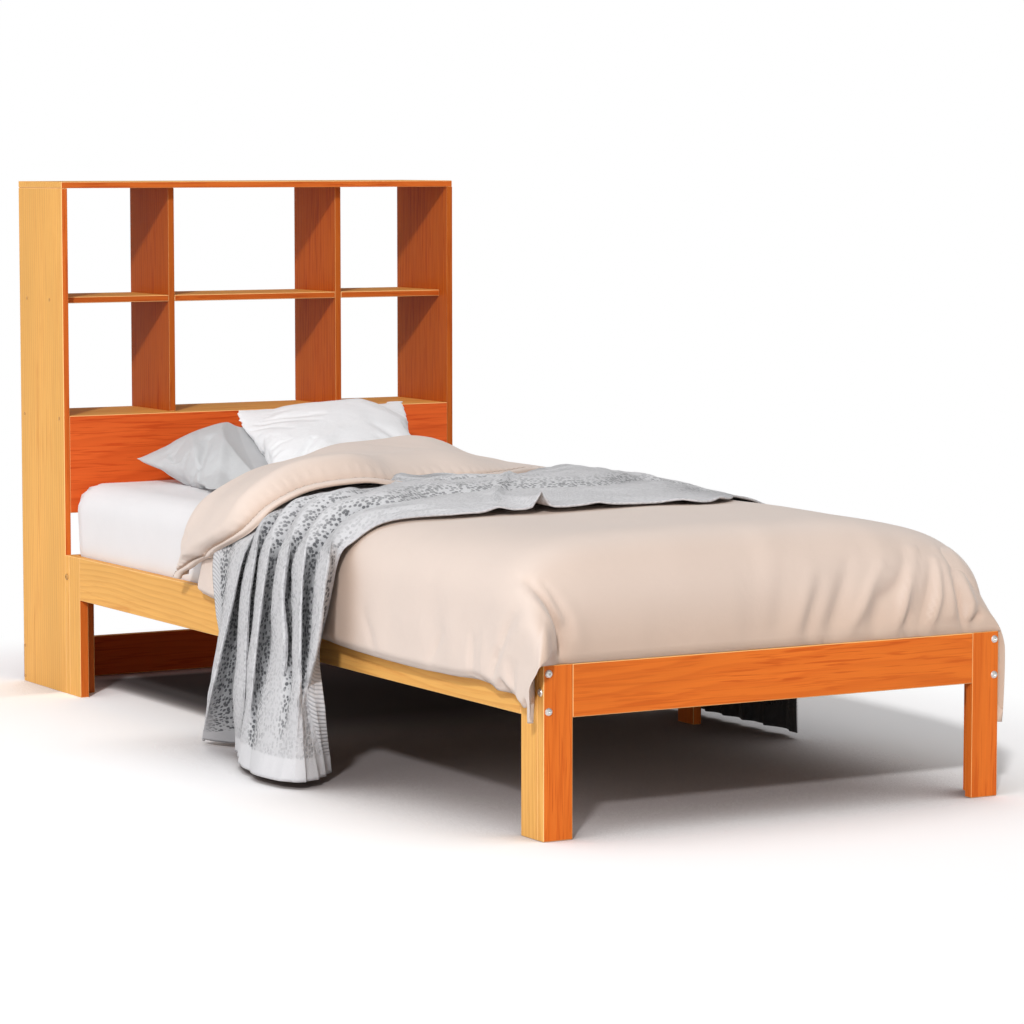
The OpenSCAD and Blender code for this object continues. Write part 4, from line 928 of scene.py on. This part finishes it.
throw = {
    "wide": 0.92, "long": 2.15,          # flat, in metres
    "thick": 4.0, "gap": 0.9,
    "rows": 186, "columns": 262,
    "rib": 35.0, "hem": 45.0,            # widths of the ribbed edge and of the plain band
    # the knit's hollow, rib groove and under-bed colours are painted shade, and its top colour is painted light
    "knit": {"holeSpacing": 0.0078, "yarn": 0.0022, "ribSpacing": 0.0085, "wool": (0.71, 0.703, 0.72),
             "woolDark": (0.58, 0.58, 0.60), "hollowShade": (0.32, 0.335, 0.35), "litTop": (0.82, 0.812, 0.83),
             "hole": (0.085, 0.09, 0.10), "ribGrooveShade": (0.20, 0.205, 0.22), "underBedShade": (0.012, 0.012, 0.013)},
    # y of both long edges for each p
    "headEdge": [(-1, 40), (-.9, 50), (-.74, 60), (-.67, 30), (-.57, 0), (-.47, -30), (-.385, -50), (-.3, -75),
                 (-.25, -105), (-.2, -112), (-.1, -92), (0, -118), (.07, -95), (.12, -55), (.18, 5), (.25, 72),
                 (.33, 72), (.45, 62), (.6, 66), (1, 44)],
    "footEdge": [(-1, -428), (-.9, -452), (-.775, -468), (-.7, -476), (-.63, -492), (-.54, -506), (-.47, -558),
                 (-.42, -636), (-.365, -690), (-.3, -700), (-.2, -722), (-.1, -738), (0, -752), (.1, -770),
                 (.16, -774), (.22, -680), (.3, -570), (.4, -500), (.6, -450), (1, -420)],
    # how far the head edge reaches under the folded-back duvet
    "tuck": [(-.8, 0), (-.6, 45), (-.5, 75), (-.4, 90), (-.3, 70), (-.22, 20), (-.15, 0), (1, 0)],
    # folds from the head side to the foot side, on top of the bed: for each p their places between the two edges,
    # and their heights
    "places": [
        (-.62, (0, .09, .22, .25, .33, .36, .44, .50, .60, .65, .74, .82, .91, .96, 1)),
        (-.42, (0, .03, .05, .08, .11, .15, .20, .26, .36, .44, .56, .68, .80, .91, 1)),
        (-.3, (0, .012, .024, .036, .048, .06, .072, .084, .10, .16, .33, .50, .66, .84, 1)),
        (0, (0, .012, .024, .036, .048, .06, .075, .09, .11, .18, .32, .50, .66, .84, 1)),
        (.2, (0, .03, .06, .09, .12, .15, .18, .21, .25, .30, .38, .49, .64, .80, 1)),
        (.62, (0, .06, .12, .17, .24, .29, .36, .43, .51, .58, .67, .75, .86, .94, 1))],
    "heights": [
        (-.62, (0, 3, 28, 0, 28, 3, 28, 0, 28, 4, 28, 0, 25, 12, 4)),
        (-.5, (0, 2, 20, 0, 20, 2, 20, 0, 24, 3, 25, 0, 22, 12, 4)),
        (-.4, (0, 2, 8, 2, 8, 2, 8, 2, 20, 3, 24, 0, 19, 13, 5)),
        (-.3, (0, 2, 5, 2, 5, 2, 6, 3, 9, 3, 21, 0, 17, 14, 6)),
        (-.2, (2, 3, 5, 3, 5, 3, 6, 4, 14, 4, 21, 0, 16, 14, 5)),
        (-.1, (2, 3, 4, 4, 5, 5, 6, 8, 17, 6, 21, 1, 16, 14, 5)),
        (0, (2, 3, 4, 5, 6, 7, 9, 12, 15, 8, 21, 3, 16, 12, 5)),
        (.1, (2, 4, 6, 8, 10, 13, 16, 17, 17, 14, 20, 7, 15, 9, 5)),
        (.2, (2, 6, 10, 14, 18, 21, 22, 22, 21, 20, 22, 5, 16, 5, 5)),
        (.3, (2, 8, 12, 15, 17, 18, 18, 18, 17, 16, 17, 2, 11, 1, 3)),
        (.4, (2, 8, 12, 15, 17, 18, 19, 18, 18, 16, 18, 3, 11, 1, 2)),
        (.5, (2, 8, 14, 16, 18, 18, 19, 19, 19, 16, 19, 3, 12, 2, 2)),
        (.62, (0, 2, 20, 2, 20, 2, 22, 2, 22, 3, 24, 2, 22, 3, 2))],
    # ridges and hollows of the right drop
    "ridge": [0, .1, 1, 0, 1, .1, 1, 0, 1, .15, 1, 0, 1, .1, .0],
    # creases across the throw, seen from above: start, end, half width, height
    "creases": [((10, -175), (-284, -625), 9, 10), ((26, -184), (-268, -634), 8, -3),
                ((-150, -60), (-250, -150), 14, 8), ((260, -120), (330, -330), 20, 6)],
    # lifts of the foot edge: x, half width, height, reach inwards
    "lifts": [(-229, 19, 30, 60), (-305, 20, 8, 40), (-120, 18, 5, 30), (40, 30, 6, 40), (130, 20, 5, 30)],
    "edgeLift": 0.8, "hemZ": 6.0, "offFloor": 1.0,
    "deepAt": 17.0,                      # a fold as deep as this is painted fully dark inside, as shade
    # left drop, from the shoulder down: x, y, z of each fold
    "left": [
        [(-524, 61, 382), (-526, -16, 389), (-548, -129, 401), (-524, -108, 398), (-552, -192, 407),
         (-526, -160, 402), (-560, -262, 414), (-530, -250, 411), (-564, -351, 422), (-534, -322, 418),
         (-566, -425, 429), (-530, -407, 425), (-560, -515, 437), (-534, -488, 433), (-524, -489, 433)],
        [(-524, 58, 294), (-526, -1, 300), (-562, -113, 313), (-520, -58, 305), (-566, -192, 322),
         (-534, -154, 316), (-572, -260, 329), (-526, -217, 322), (-576, -357, 339), (-536, -318, 333),
         (-580, -440, 348), (-532, -392, 340), (-576, -522, 356), (-540, -467, 348), (-524, -447, 345)],
        [(-515, 47, 196), (-520, 13, 200), (-580, -98, 216), (-515, -48, 207), (-570, -188, 226),
         (-545, -155, 221), (-584, -258, 235), (-520, -204, 225), (-586, -389, 250), (-545, -346, 242),
         (-590, -455, 258), (-545, -408, 250), (-586, -516, 265), (-540, -425, 251), (-518, -392, 246)],
        [(-505, 83, 91), (-530, 12, 102), (-592, -70, 117), (-505, -22, 105), (-575, -186, 130),
         (-565, -178, 129), (-596, -260, 141), (-568, -238, 135), (-602, -385, 158), (-592, -415, 162),
         (-606, -480, 170), (-596, -472, 168), (-582, -462, 166), (-568, -468, 167), (-548, -466, 167)],
        [(-519, 112, 6), (-518, 126, 6), (-520, 127, 6), (-465, 23, 6), (-539, -77, 6), (-567, -145, 6),
         (-598, -215, 6), (-617, -290, 6), (-632, -355, 6), (-628, -405, 6), (-612, -450, 6), (-585, -468, 6),
         (-550, -450, 6), (-520, -420, 6), (-490, -385, 6)]],
    # right drop: share of the fall, outward lean, depth of the folds
    "right": [(.0, 6, 24), (.3, 9, 24), (.55, 13, 21), (.78, 17, 17), (1.0, 22, 14)],
    "rightFloor": (-172, 240),
}


# row of numbers for p, between the two nearest rows
def between(p, rows):
    keys = [row[0] for row in rows]
    table = np.array([row[1] for row in rows], float)
    return np.array([np.interp(p, keys, table[:, i]) for i in range(table.shape[1])])


# shares of the throw's width, and y, of the folds at share p of the half width
def foldPlaces(p):
    place = between(p, throw["places"])
    return place, blend(curve(np.array(p), throw["headEdge"]), curve(np.array(p), throw["footEdge"]), place)


# rows of control points over the bed, from the left hem to the right hem; the way out and how flat each lies
def throwLevels():
    w = throw
    ridge, off = np.array(w["ridge"]), w["gap"] + w["thick"]
    levels = [np.array(row, float) for row in w["left"][::-1]]
    ways = [(-1, 0, 0), (-1, -.1, .1), (-1, 0, .1), (-1, 0, .25), (-.9, 0, .45)]
    flats = [0] * len(levels)
    for p, high in w["heights"]:
        place, y = foldPlaces(p)
        share, high = np.full(place.shape, p), np.array(high, float)
        y = y + float(np.interp(p, *np.array(w["tuck"]).T)) * np.clip(1 - place / 0.12, 0, 1)
        into = y - freeEdge(share)
        if p < -0.25:          # here it passes under the folded-back duvet, and further right over it
            high = high * (1 - smooth((into + 14) / 30))
        else:
            high = high + (flapHeight(share, y) + 2) * smooth((into + 25) / 25)
        levels.append(duvetSkin(share, y, 1.0, off + high))
        a = float(arcAngle(np.array(p)))
        ways.append((math.copysign(math.cos(a), p), 0, math.sin(a)))
        flats.append(1 if abs(p) < 0.55 else 0.5)
    place, y = foldPlaces(0.9)
    start = duvetSkin(np.full(y.shape, 0.9), y, 1.0, 0.0)
    middle, reach = w["rightFloor"]
    for fall, lean, deep in w["right"]:
        floorY = middle + reach * (1 - 2 * place)
        x = start[:, 0] + off + lean + deep * ridge
        levels.append(np.stack([x, blend(y, floorY, fall ** 1.5), blend(start[:, 2], w["hemZ"], fall)], -1))
        ways.append((1, 0, 0))
        flats.append(0)
    return np.array(levels), np.array(ways, float), np.array(flats, float)


# smooth line through the levels, at even steps of the middle fold's length
def alongCurve(levels, at, count):
    spread = [1] * (levels.ndim - 1)
    ends = np.concatenate([2 * levels[:1] - levels[1:2], levels, 2 * levels[-1:] - levels[-2:-1]])
    t = np.linspace(0, 1, 24, endpoint=False).reshape(-1, *spread)
    fine = []
    for a, b, c, d in zip(ends, ends[1:], ends[2:], ends[3:]):
        fine.append(0.5 * (2 * b + (c - a) * t + (2 * a - 5 * b + 4 * c - d) * t ** 2
                           + (3 * b - a - 3 * c + d) * t ** 3))
    fine = np.concatenate(fine + [levels[-1:]])
    if at is None:
        step = arcs(fine[:, fine.shape[1] // 2])
        at = np.interp(np.linspace(0, step[-1], count), step, np.arange(len(step)))
    low = np.clip(at.astype(int), 0, len(fine) - 2)
    part = (at - low).reshape(-1, *spread)
    return fine[low] * (1 - part) + fine[low + 1] * part, at


# openwork knit: holes between soft cords, ribs along the head edge and near the ends, a plain band at the hems
def knitMaterial():
    material, g = newMaterial("throwKnit")
    k, rib, hem = throw["knit"], throw["rib"] * mm, throw["hem"] * mm
    cloth = g.out(g.node("ShaderNodeUVMap", uv_map="cloth"))
    u, v = g.split(cloth)[:2]
    headSide, fold = (g.out(g.node("ShaderNodeAttribute", attribute_name=name), "Fac") for name in ("headSide", "fold"))
    place = g.place()
    x, z = g.split(place)[::2]
    facing = g.split(g.out(g.node("ShaderNodeNewGeometry"), "Normal"))
    flat = g.spread(facing[2], 0.5, 0.9)
    edge, end = g.math("MINIMUM", u, headSide), g.math("MINIMUM", v, throw["long"] - v)
    notHem = g.spread(end, hem - 0.003, hem + 0.003)
    ribbed = (1.0 - g.spread(edge, rib - 0.002, rib + 0.002)) \
        * g.most(g.spread(headSide, 0.1, 0.2, 1.0, 0.0), g.spread(end, 0.26, 0.32, 1.0, 0.0))
    inside, ribbed = (1.0 - ribbed) * notHem, ribbed * notHem
    ribs = g.math("POWER", g.math("ABSOLUTE", g.math("SINE", v * (math.pi / k["ribSpacing"]))), 0.6)
    yarn = g.math("SINE", v * (2 * math.pi / k["yarn"]))
    spots = g.node("ShaderNodeTexVoronoi", {"Vector": place, "Scale": 1 / k["holeSpacing"], "Randomness": 0.75},
                   feature="F1")
    hole = (1.0 - g.spread(g.out(spots, "Distance"), 0.35, 0.54)) * inside
    fuzz = g.noise(cloth, 260.0, 3.0, 0.7)
    level = fold + (g.noise(cloth, 34.0, 2.0, 0.6) - 0.5) * 0.5
    deep = 1.0 - g.spread(level, 0.15, 0.9)
    color = g.mix(g.spread(fuzz, 0.3, 0.7, 0.0, 0.22, smooth=False), k["wool"], k["woolDark"])
    # painted shade: the bottoms of the folds are mixed towards the hollow colour
    color = g.mix(deep * g.spread(flat, 0, 1, 0.36, 0.14), color, k["hollowShade"])
    # painted light: faces that point up are mixed towards the paler top colour
    color = g.mix(flat * 0.5, color, k["litTop"])
    # the holes are real, but they are painted darker and stronger in the fold hollows as shade, and fainter on top
    strength = g.spread(level, 0.45, 1.05, 0.9, 0.12) * g.spread(flat, 0, 1, 1.0, 0.7)
    color = g.mix(hole * strength, color, k["hole"])
    # painted shade in the grooves between the ribs
    color = g.mix((1.0 - ribs) * ribbed * 0.6, color, k["ribGrooveShade"])
    # painted shade: the far drop's inner face is painted near black where it hangs under the bed
    inner = g.spread(x, 0.40, 0.44) * g.spread(facing[0] * -1.0, 0.0, 0.4) * g.spread(z, 0.25, 0.36, 1.0, 0.0)
    color = g.mix(inner * 0.93, color, k["underBedShade"])
    height = yarn * (inside * 0.15) - hole * g.spread(level, 0.45, 1.0, 1.0, 0.35)
    height = height + ribs * ribbed * 0.7 + fuzz * 0.4
    g.surface({"Base Color": color, "Roughness": 0.95, "Specular IOR Level": 0.15, "Sheen Weight": 0.2,
               "Normal": g.bump(height, 0.9, 0.0022)})
    return material


def smoothGrid(grid, axis, passes):
    kernel = np.array([1, 4, 6, 4, 1]) / 16
    n = grid.shape[axis]
    for _ in range(passes):
        padded = np.concatenate([grid.take([0, 0], axis), grid, grid.take([-1, -1], axis)], axis)
        grid = sum(kernel[i] * padded.take(range(i, i + n), axis) for i in range(5))
    return grid


def makeThrow():
    w = throw
    levels, ways, flats = throwLevels()
    lines, at = alongCurve(levels, None, w["rows"])
    ways, flats = alongCurve(ways, at, w["rows"])[0], alongCurve(flats, at, w["rows"])[0]
    ways /= np.linalg.norm(ways, axis=1, keepdims=True)
    # columns are shared out by the mean width of each fold's side
    gaps = np.linalg.norm(np.diff(lines, axis=1), axis=2).mean(0) + 3
    share = np.concatenate([[0], np.cumsum(gaps)]) / gaps.sum()
    c = np.interp(np.linspace(0, 1, w["columns"]), share, np.arange(len(share)))
    k = np.clip(c.astype(int), 0, len(share) - 2)
    s = (c - k)[None, :]
    t, a, b = s[..., None], lines[:, k], lines[:, k + 1]
    # a fold is round on top and narrow at its foot
    out = ((b - a) * ways[:, None, :]).sum(-1, keepdims=True)
    rounded = np.where(out > 0, np.sin(0.5 * np.pi * t) ** 0.8, 1 - np.sin(0.5 * np.pi * (1 - t)) ** 0.8)
    grid = blend(a, b, t) + ways[:, None, :] * out * (rounded - t)
    # 1 on the ridges, falling slowly to 0 in the bottom of each fold and rising fast at the next ridge; the knit is
    # painted darker, as shade, where it is low
    high = (lines * ways[:, None, :]).sum(-1)
    deep = np.zeros_like(high)
    deep[:, 1:-1] = np.clip((0.5 * (high[:, 2:] + high[:, :-2]) - high[:, 1:-1]) / w["deepAt"], 0, 1)
    fold = 1 - (deep[:, k] * (1 - s) ** 2.4 + deep[:, k + 1] * s ** 1.2)
    fold = smoothGrid(smoothGrid(fold[..., None], 0, 3), 1, 1)[..., 0]
    grid = smoothGrid(smoothGrid(grid, 0, 2), 1, 1)
    # the foot edge stands a little off the duvet
    fromFoot = arcs(grid[:, ::-1], 1)[:, ::-1]
    rise = w["edgeLift"] * np.exp(-fromFoot / 7)
    for x, wide, high, reach in w["lifts"]:
        away = np.abs(grid[..., 0] - x) / wide
        tent = np.maximum(1 - away, 0) if high > 20 else np.exp(-away ** 2)
        rise = rise + high * tent * np.exp(-fromFoot / reach) * flats[:, None]
    rise = rise + foldPush(grid[..., :2], w["creases"]) * smooth(flats * 2 - 1)[:, None]
    grid = grid + ways[:, None, :] * rise[..., None]
    normal = upNormals(grid)
    length, width = np.meshgrid(np.linspace(0, w["long"], w["rows"]), np.linspace(0, w["wide"], w["columns"]),
                                indexing="ij")
    soft = 1.8 * cloud(length * 9, width * 26, 31) + 1.1 * cloud(length * 30, width * 40, 32)
    grid = grid + normal * soft[..., None]
    # the knit is measured from the foot edge, and its edge bands from both edges
    fromFoot, fromHead = arcs(grid[:, ::-1], 1)[:, ::-1] * mm, arcs(grid, 1) * mm
    along = arcs(grid, 0)
    uv = np.stack(np.broadcast_arrays(fromFoot, along / along[-1:] * w["long"]), -1)
    inner = grid - normal * w["thick"]
    grid[..., 2] = np.maximum(grid[..., 2], w["offFloor"] + 1)
    inner[..., 2] = np.maximum(inner[..., 2], w["offFloor"])
    made = closedSheet("throw_knit", grid, inner, knitMaterial(), uv, {"fold": fold, "headSide": fromHead})
    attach(made, "root")
    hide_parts("throw_blanket")


# corners: head left, head right, foot left, foot right; up and down are the swell on each side of the seam
pillows = {
    "pillow_grey_case": {
        "node": "pillow_grey", "slot": "grey_cotton", "color": (0.56, 0.565, 0.575),
        "corners": ((-350, 836, 509), (100, 856, 535), (-330, 494, 466), (110, 474, 466)),
        "up": 88, "down": 42, "skew": 0.4, "bend": 0, "start": 0.8, "under": True,
        "folds": [((-296, 745), (-345, 585), 12, -15), ((-262, 730), (-312, 590), 13, 9),
                  ((-245, 670), (-330, 560), 10, -12), ((-222, 640), (-300, 520), 14, 9),
                  ((-130, 650), (-215, 510), 30, -4), ((-330, 770), (-350, 690), 9, -6)],
    },
    "pillow_white_case": {
        "node": "pillow_white", "slot": "white_cotton", "color": (0.875, 0.88, 0.895),
        "corners": ((-124, 814, 612), (296, 797, 620), (-212, 446, 472), (215, 420, 472)),
        "up": 58, "down": 24, "skew": 0.0, "bend": 27, "start": 0.8, "under": False,
        "folds": [((-118, 505), (-52, 560), 8, -7), ((-60, 520), (20, 585), 12, 4), ((180, 500), (120, 600), 16, -5)],
    },
}
pillowCloth = {"weave": 0.0014, "weaveDepth": 0.00015, "crumple": 0.035, "crumpleDepth": 0.0022, "sheen": 0.25,
               "tint": 0.06}
pillowRest = {
    "pull": 0.09,              # share by which the sides draw in between the corners
    "gap": 3.0,                # clearance between the pillows
    "slope": 0.9,              # rise of the grey pillow beside the white one's edge
}
filling = {                    # the cloth simulation, in metres
    "voxel": 0.007, "even": 6, "frames": 20, "pressure": 4.0,
    "cornerReach": 0.11, "cornerFade": 0.07,     # the corners hold their points within this reach
    "furthest": 0.024,                           # the most that a point may move
}


# point of the seam's surface; u runs from left to right and v from foot to head, both from -1 to 1
def pillowMiddle(spec, u, v):
    pull = pillowRest["pull"]
    u = u * (1 - pull * (1 - v * v) * np.abs(u))
    v = v * (1 - pull * (1 - u * u) * np.abs(v))
    headLeft, headRight, footLeft, footRight = np.array(spec["corners"], float)
    s, t = (u[..., None] + 1) / 2, (v[..., None] + 1) / 2
    point = blend(blend(footLeft, footRight, s), blend(headLeft, headRight, s), t)
    point[..., 2] -= spec["bend"] * (1 - v * v)
    return point


def swell(spec, u, v):
    lean = v - spec["skew"] * (1 - v * v)
    across = np.maximum(1 - np.abs(u) ** 2.4, 0) * np.maximum(1 - np.abs(lean) ** 2.4, 0)
    return across ** 0.75


# underside of the white pillow, and a slope beside it
def lidHeight(x, y):
    spec = pillows["pillow_white_case"]
    headLeft, headRight, footLeft, footRight = np.array(spec["corners"], float)
    middle = (headLeft + headRight + footLeft + footRight) / 4
    eu = (headRight - headLeft + footRight - footLeft) / 4
    ev = (headLeft + headRight - footLeft - footRight) / 4
    area = eu[0] * ev[1] - eu[1] * ev[0]
    dx, dy = x - middle[0], y - middle[1]
    u, v = (dx * ev[1] - dy * ev[0]) / area, (dy * eu[0] - dx * eu[1]) / area
    beyond = np.maximum(np.abs(u) - 1, 0) * np.linalg.norm(eu) + np.maximum(np.abs(v) - 1, 0) * np.linalg.norm(ev)
    u, v = np.clip(u, -1, 1), np.clip(v, -1, 1)
    under = pillowMiddle(spec, u, v)[..., 2] - spec["down"] * swell(spec, u, v)
    return np.maximum(under, bed["restZ"] + 14) + pillowRest["slope"] * beyond


# keeps a pillow on what carries it: over the mattress, under or over the other pillow, off the headboard
def settle(points, spec):
    x, y, z = points[..., 0], np.minimum(points[..., 1], bed["caseY"] - 0.5), points[..., 2]
    roof = lidHeight(x, y)
    if spec["under"]:
        z = np.maximum(np.minimum(z, roof - pillowRest["gap"]), bed["restZ"] + 0.2)
    else:
        z = np.maximum(z, roof)
    return np.stack([x, y, z], -1)


def getPoints(mesh, what="co"):
    values = np.zeros(len(mesh.vertices) * 3)
    mesh.vertices.foreach_get(what, values)
    return values.reshape(-1, 3)


def setPoints(mesh, points):
    mesh.vertices.foreach_set("co", points.ravel())
    mesh.update()


def makePillow(name, spec):
    # rows and columns lie closer together near the seam
    v, u = (np.sin(np.radians(90 * (2 * np.arange(n + 1) / n - 1))) for n in (44, 48))
    v, u = np.meshgrid(v, u, indexing="ij")
    full = spec["start"]
    up = pillowMiddle(spec, u, v)
    down = up.copy()
    up[..., 2] += 1.5 + full * spec["up"] * swell(spec, u, v)
    down[..., 2] -= 1.5 + full * spec["down"] * swell(spec, u, v)
    up, down = settle(up, spec), settle(down, spec)
    down[..., 2] = np.minimum(down[..., 2], up[..., 2] - 3)
    material = clothMaterial(name + "_cloth", spec["color"], **pillowCloth)
    made = closedSheet(name, up, down, material)
    inflate(made, spec)
    modify(made, "smooth", "SUBSURF", levels=1, render_levels=1)
    applyAll(made)
    points = getPoints(made.data) / mm
    upward = smooth(getPoints(made.data, "normal")[:, 2] * 1.5)
    crumple = 1.5 * cloud(points[:, 0] / 45, points[:, 1] / 60, len(name)) + foldPush(points[:, :2], spec["folds"])
    points[:, 2] += crumple * upward
    setPoints(made.data, settle(points, spec) * mm)
    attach(made, "root")
    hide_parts(spec["node"])


def applyAll(thing):
    mesh, old = evaluatedMesh(thing), thing.data
    thing.modifiers.clear()
    thing.data = mesh
    mesh.name = thing.name
    bpy.data.meshes.remove(old)


def inflate(thing, spec):
    f = filling
    modify(thing, "remesh", "REMESH", mode="VOXEL", voxel_size=f["voxel"], use_smooth_shade=True)
    modify(thing, "even", "SMOOTH", factor=0.5, iterations=f["even"])
    applyAll(thing)
    before = getPoints(thing.data)
    near = np.linalg.norm(before[:, None] - np.array(spec["corners"], float) * mm, axis=2).min(1)
    pin = thing.vertex_groups.new(name="corners")
    for i in np.flatnonzero(near < f["cornerReach"]):
        pin.add([int(i)], float(np.clip((f["cornerReach"] - near[i]) / f["cornerFade"], 0.02, 1)), "REPLACE")
    cloth = modify(thing, "cloth", "CLOTH")
    for key, value in (("vertex_group_mass", "corners"), ("quality", 5), ("mass", 0.25), ("use_pressure", True),
                       ("uniform_pressure_force", f["pressure"]), ("tension_stiffness", 12),
                       ("compression_stiffness", 12), ("bending_stiffness", 0.25), ("shrink_min", -0.03)):
        setattr(cloth.settings, key, value)
    cloth.settings.effector_weights.gravity = 0
    cloth.collision_settings.use_collision = cloth.collision_settings.use_self_collision = False
    for number in range(f["frames"]):
        scene.frame_set(number + 1)
    mesh = evaluatedMesh(thing)
    move = getPoints(mesh) - before
    bpy.data.meshes.remove(mesh)
    thing.modifiers.clear()
    thing.vertex_groups.clear()
    scene.frame_set(1)
    move *= np.minimum(1, f["furthest"] / np.maximum(np.linalg.norm(move, axis=1, keepdims=True), 1e-9))
    setPoints(thing.data, before + move)


makeCamera()
makeWorld()
makeLamps()
makeFloor()
print("stage: camera, lamps and floor")
dressWood()
dressMetal()
print("stage: wood and metal")
makeMattress()
cotton = clothMaterial("duvetCotton", duvet["color"], **duvet["cloth"])
makeDuvet(cotton)
makeFlap(cotton)
makeStitches()
print("stage: mattress and duvet")
makeThrow()
print("stage: throw")
for name, spec in pillows.items():
    makePillow(name, spec)
print("stage: pillows")

scene.view_settings.view_transform = "Standard"
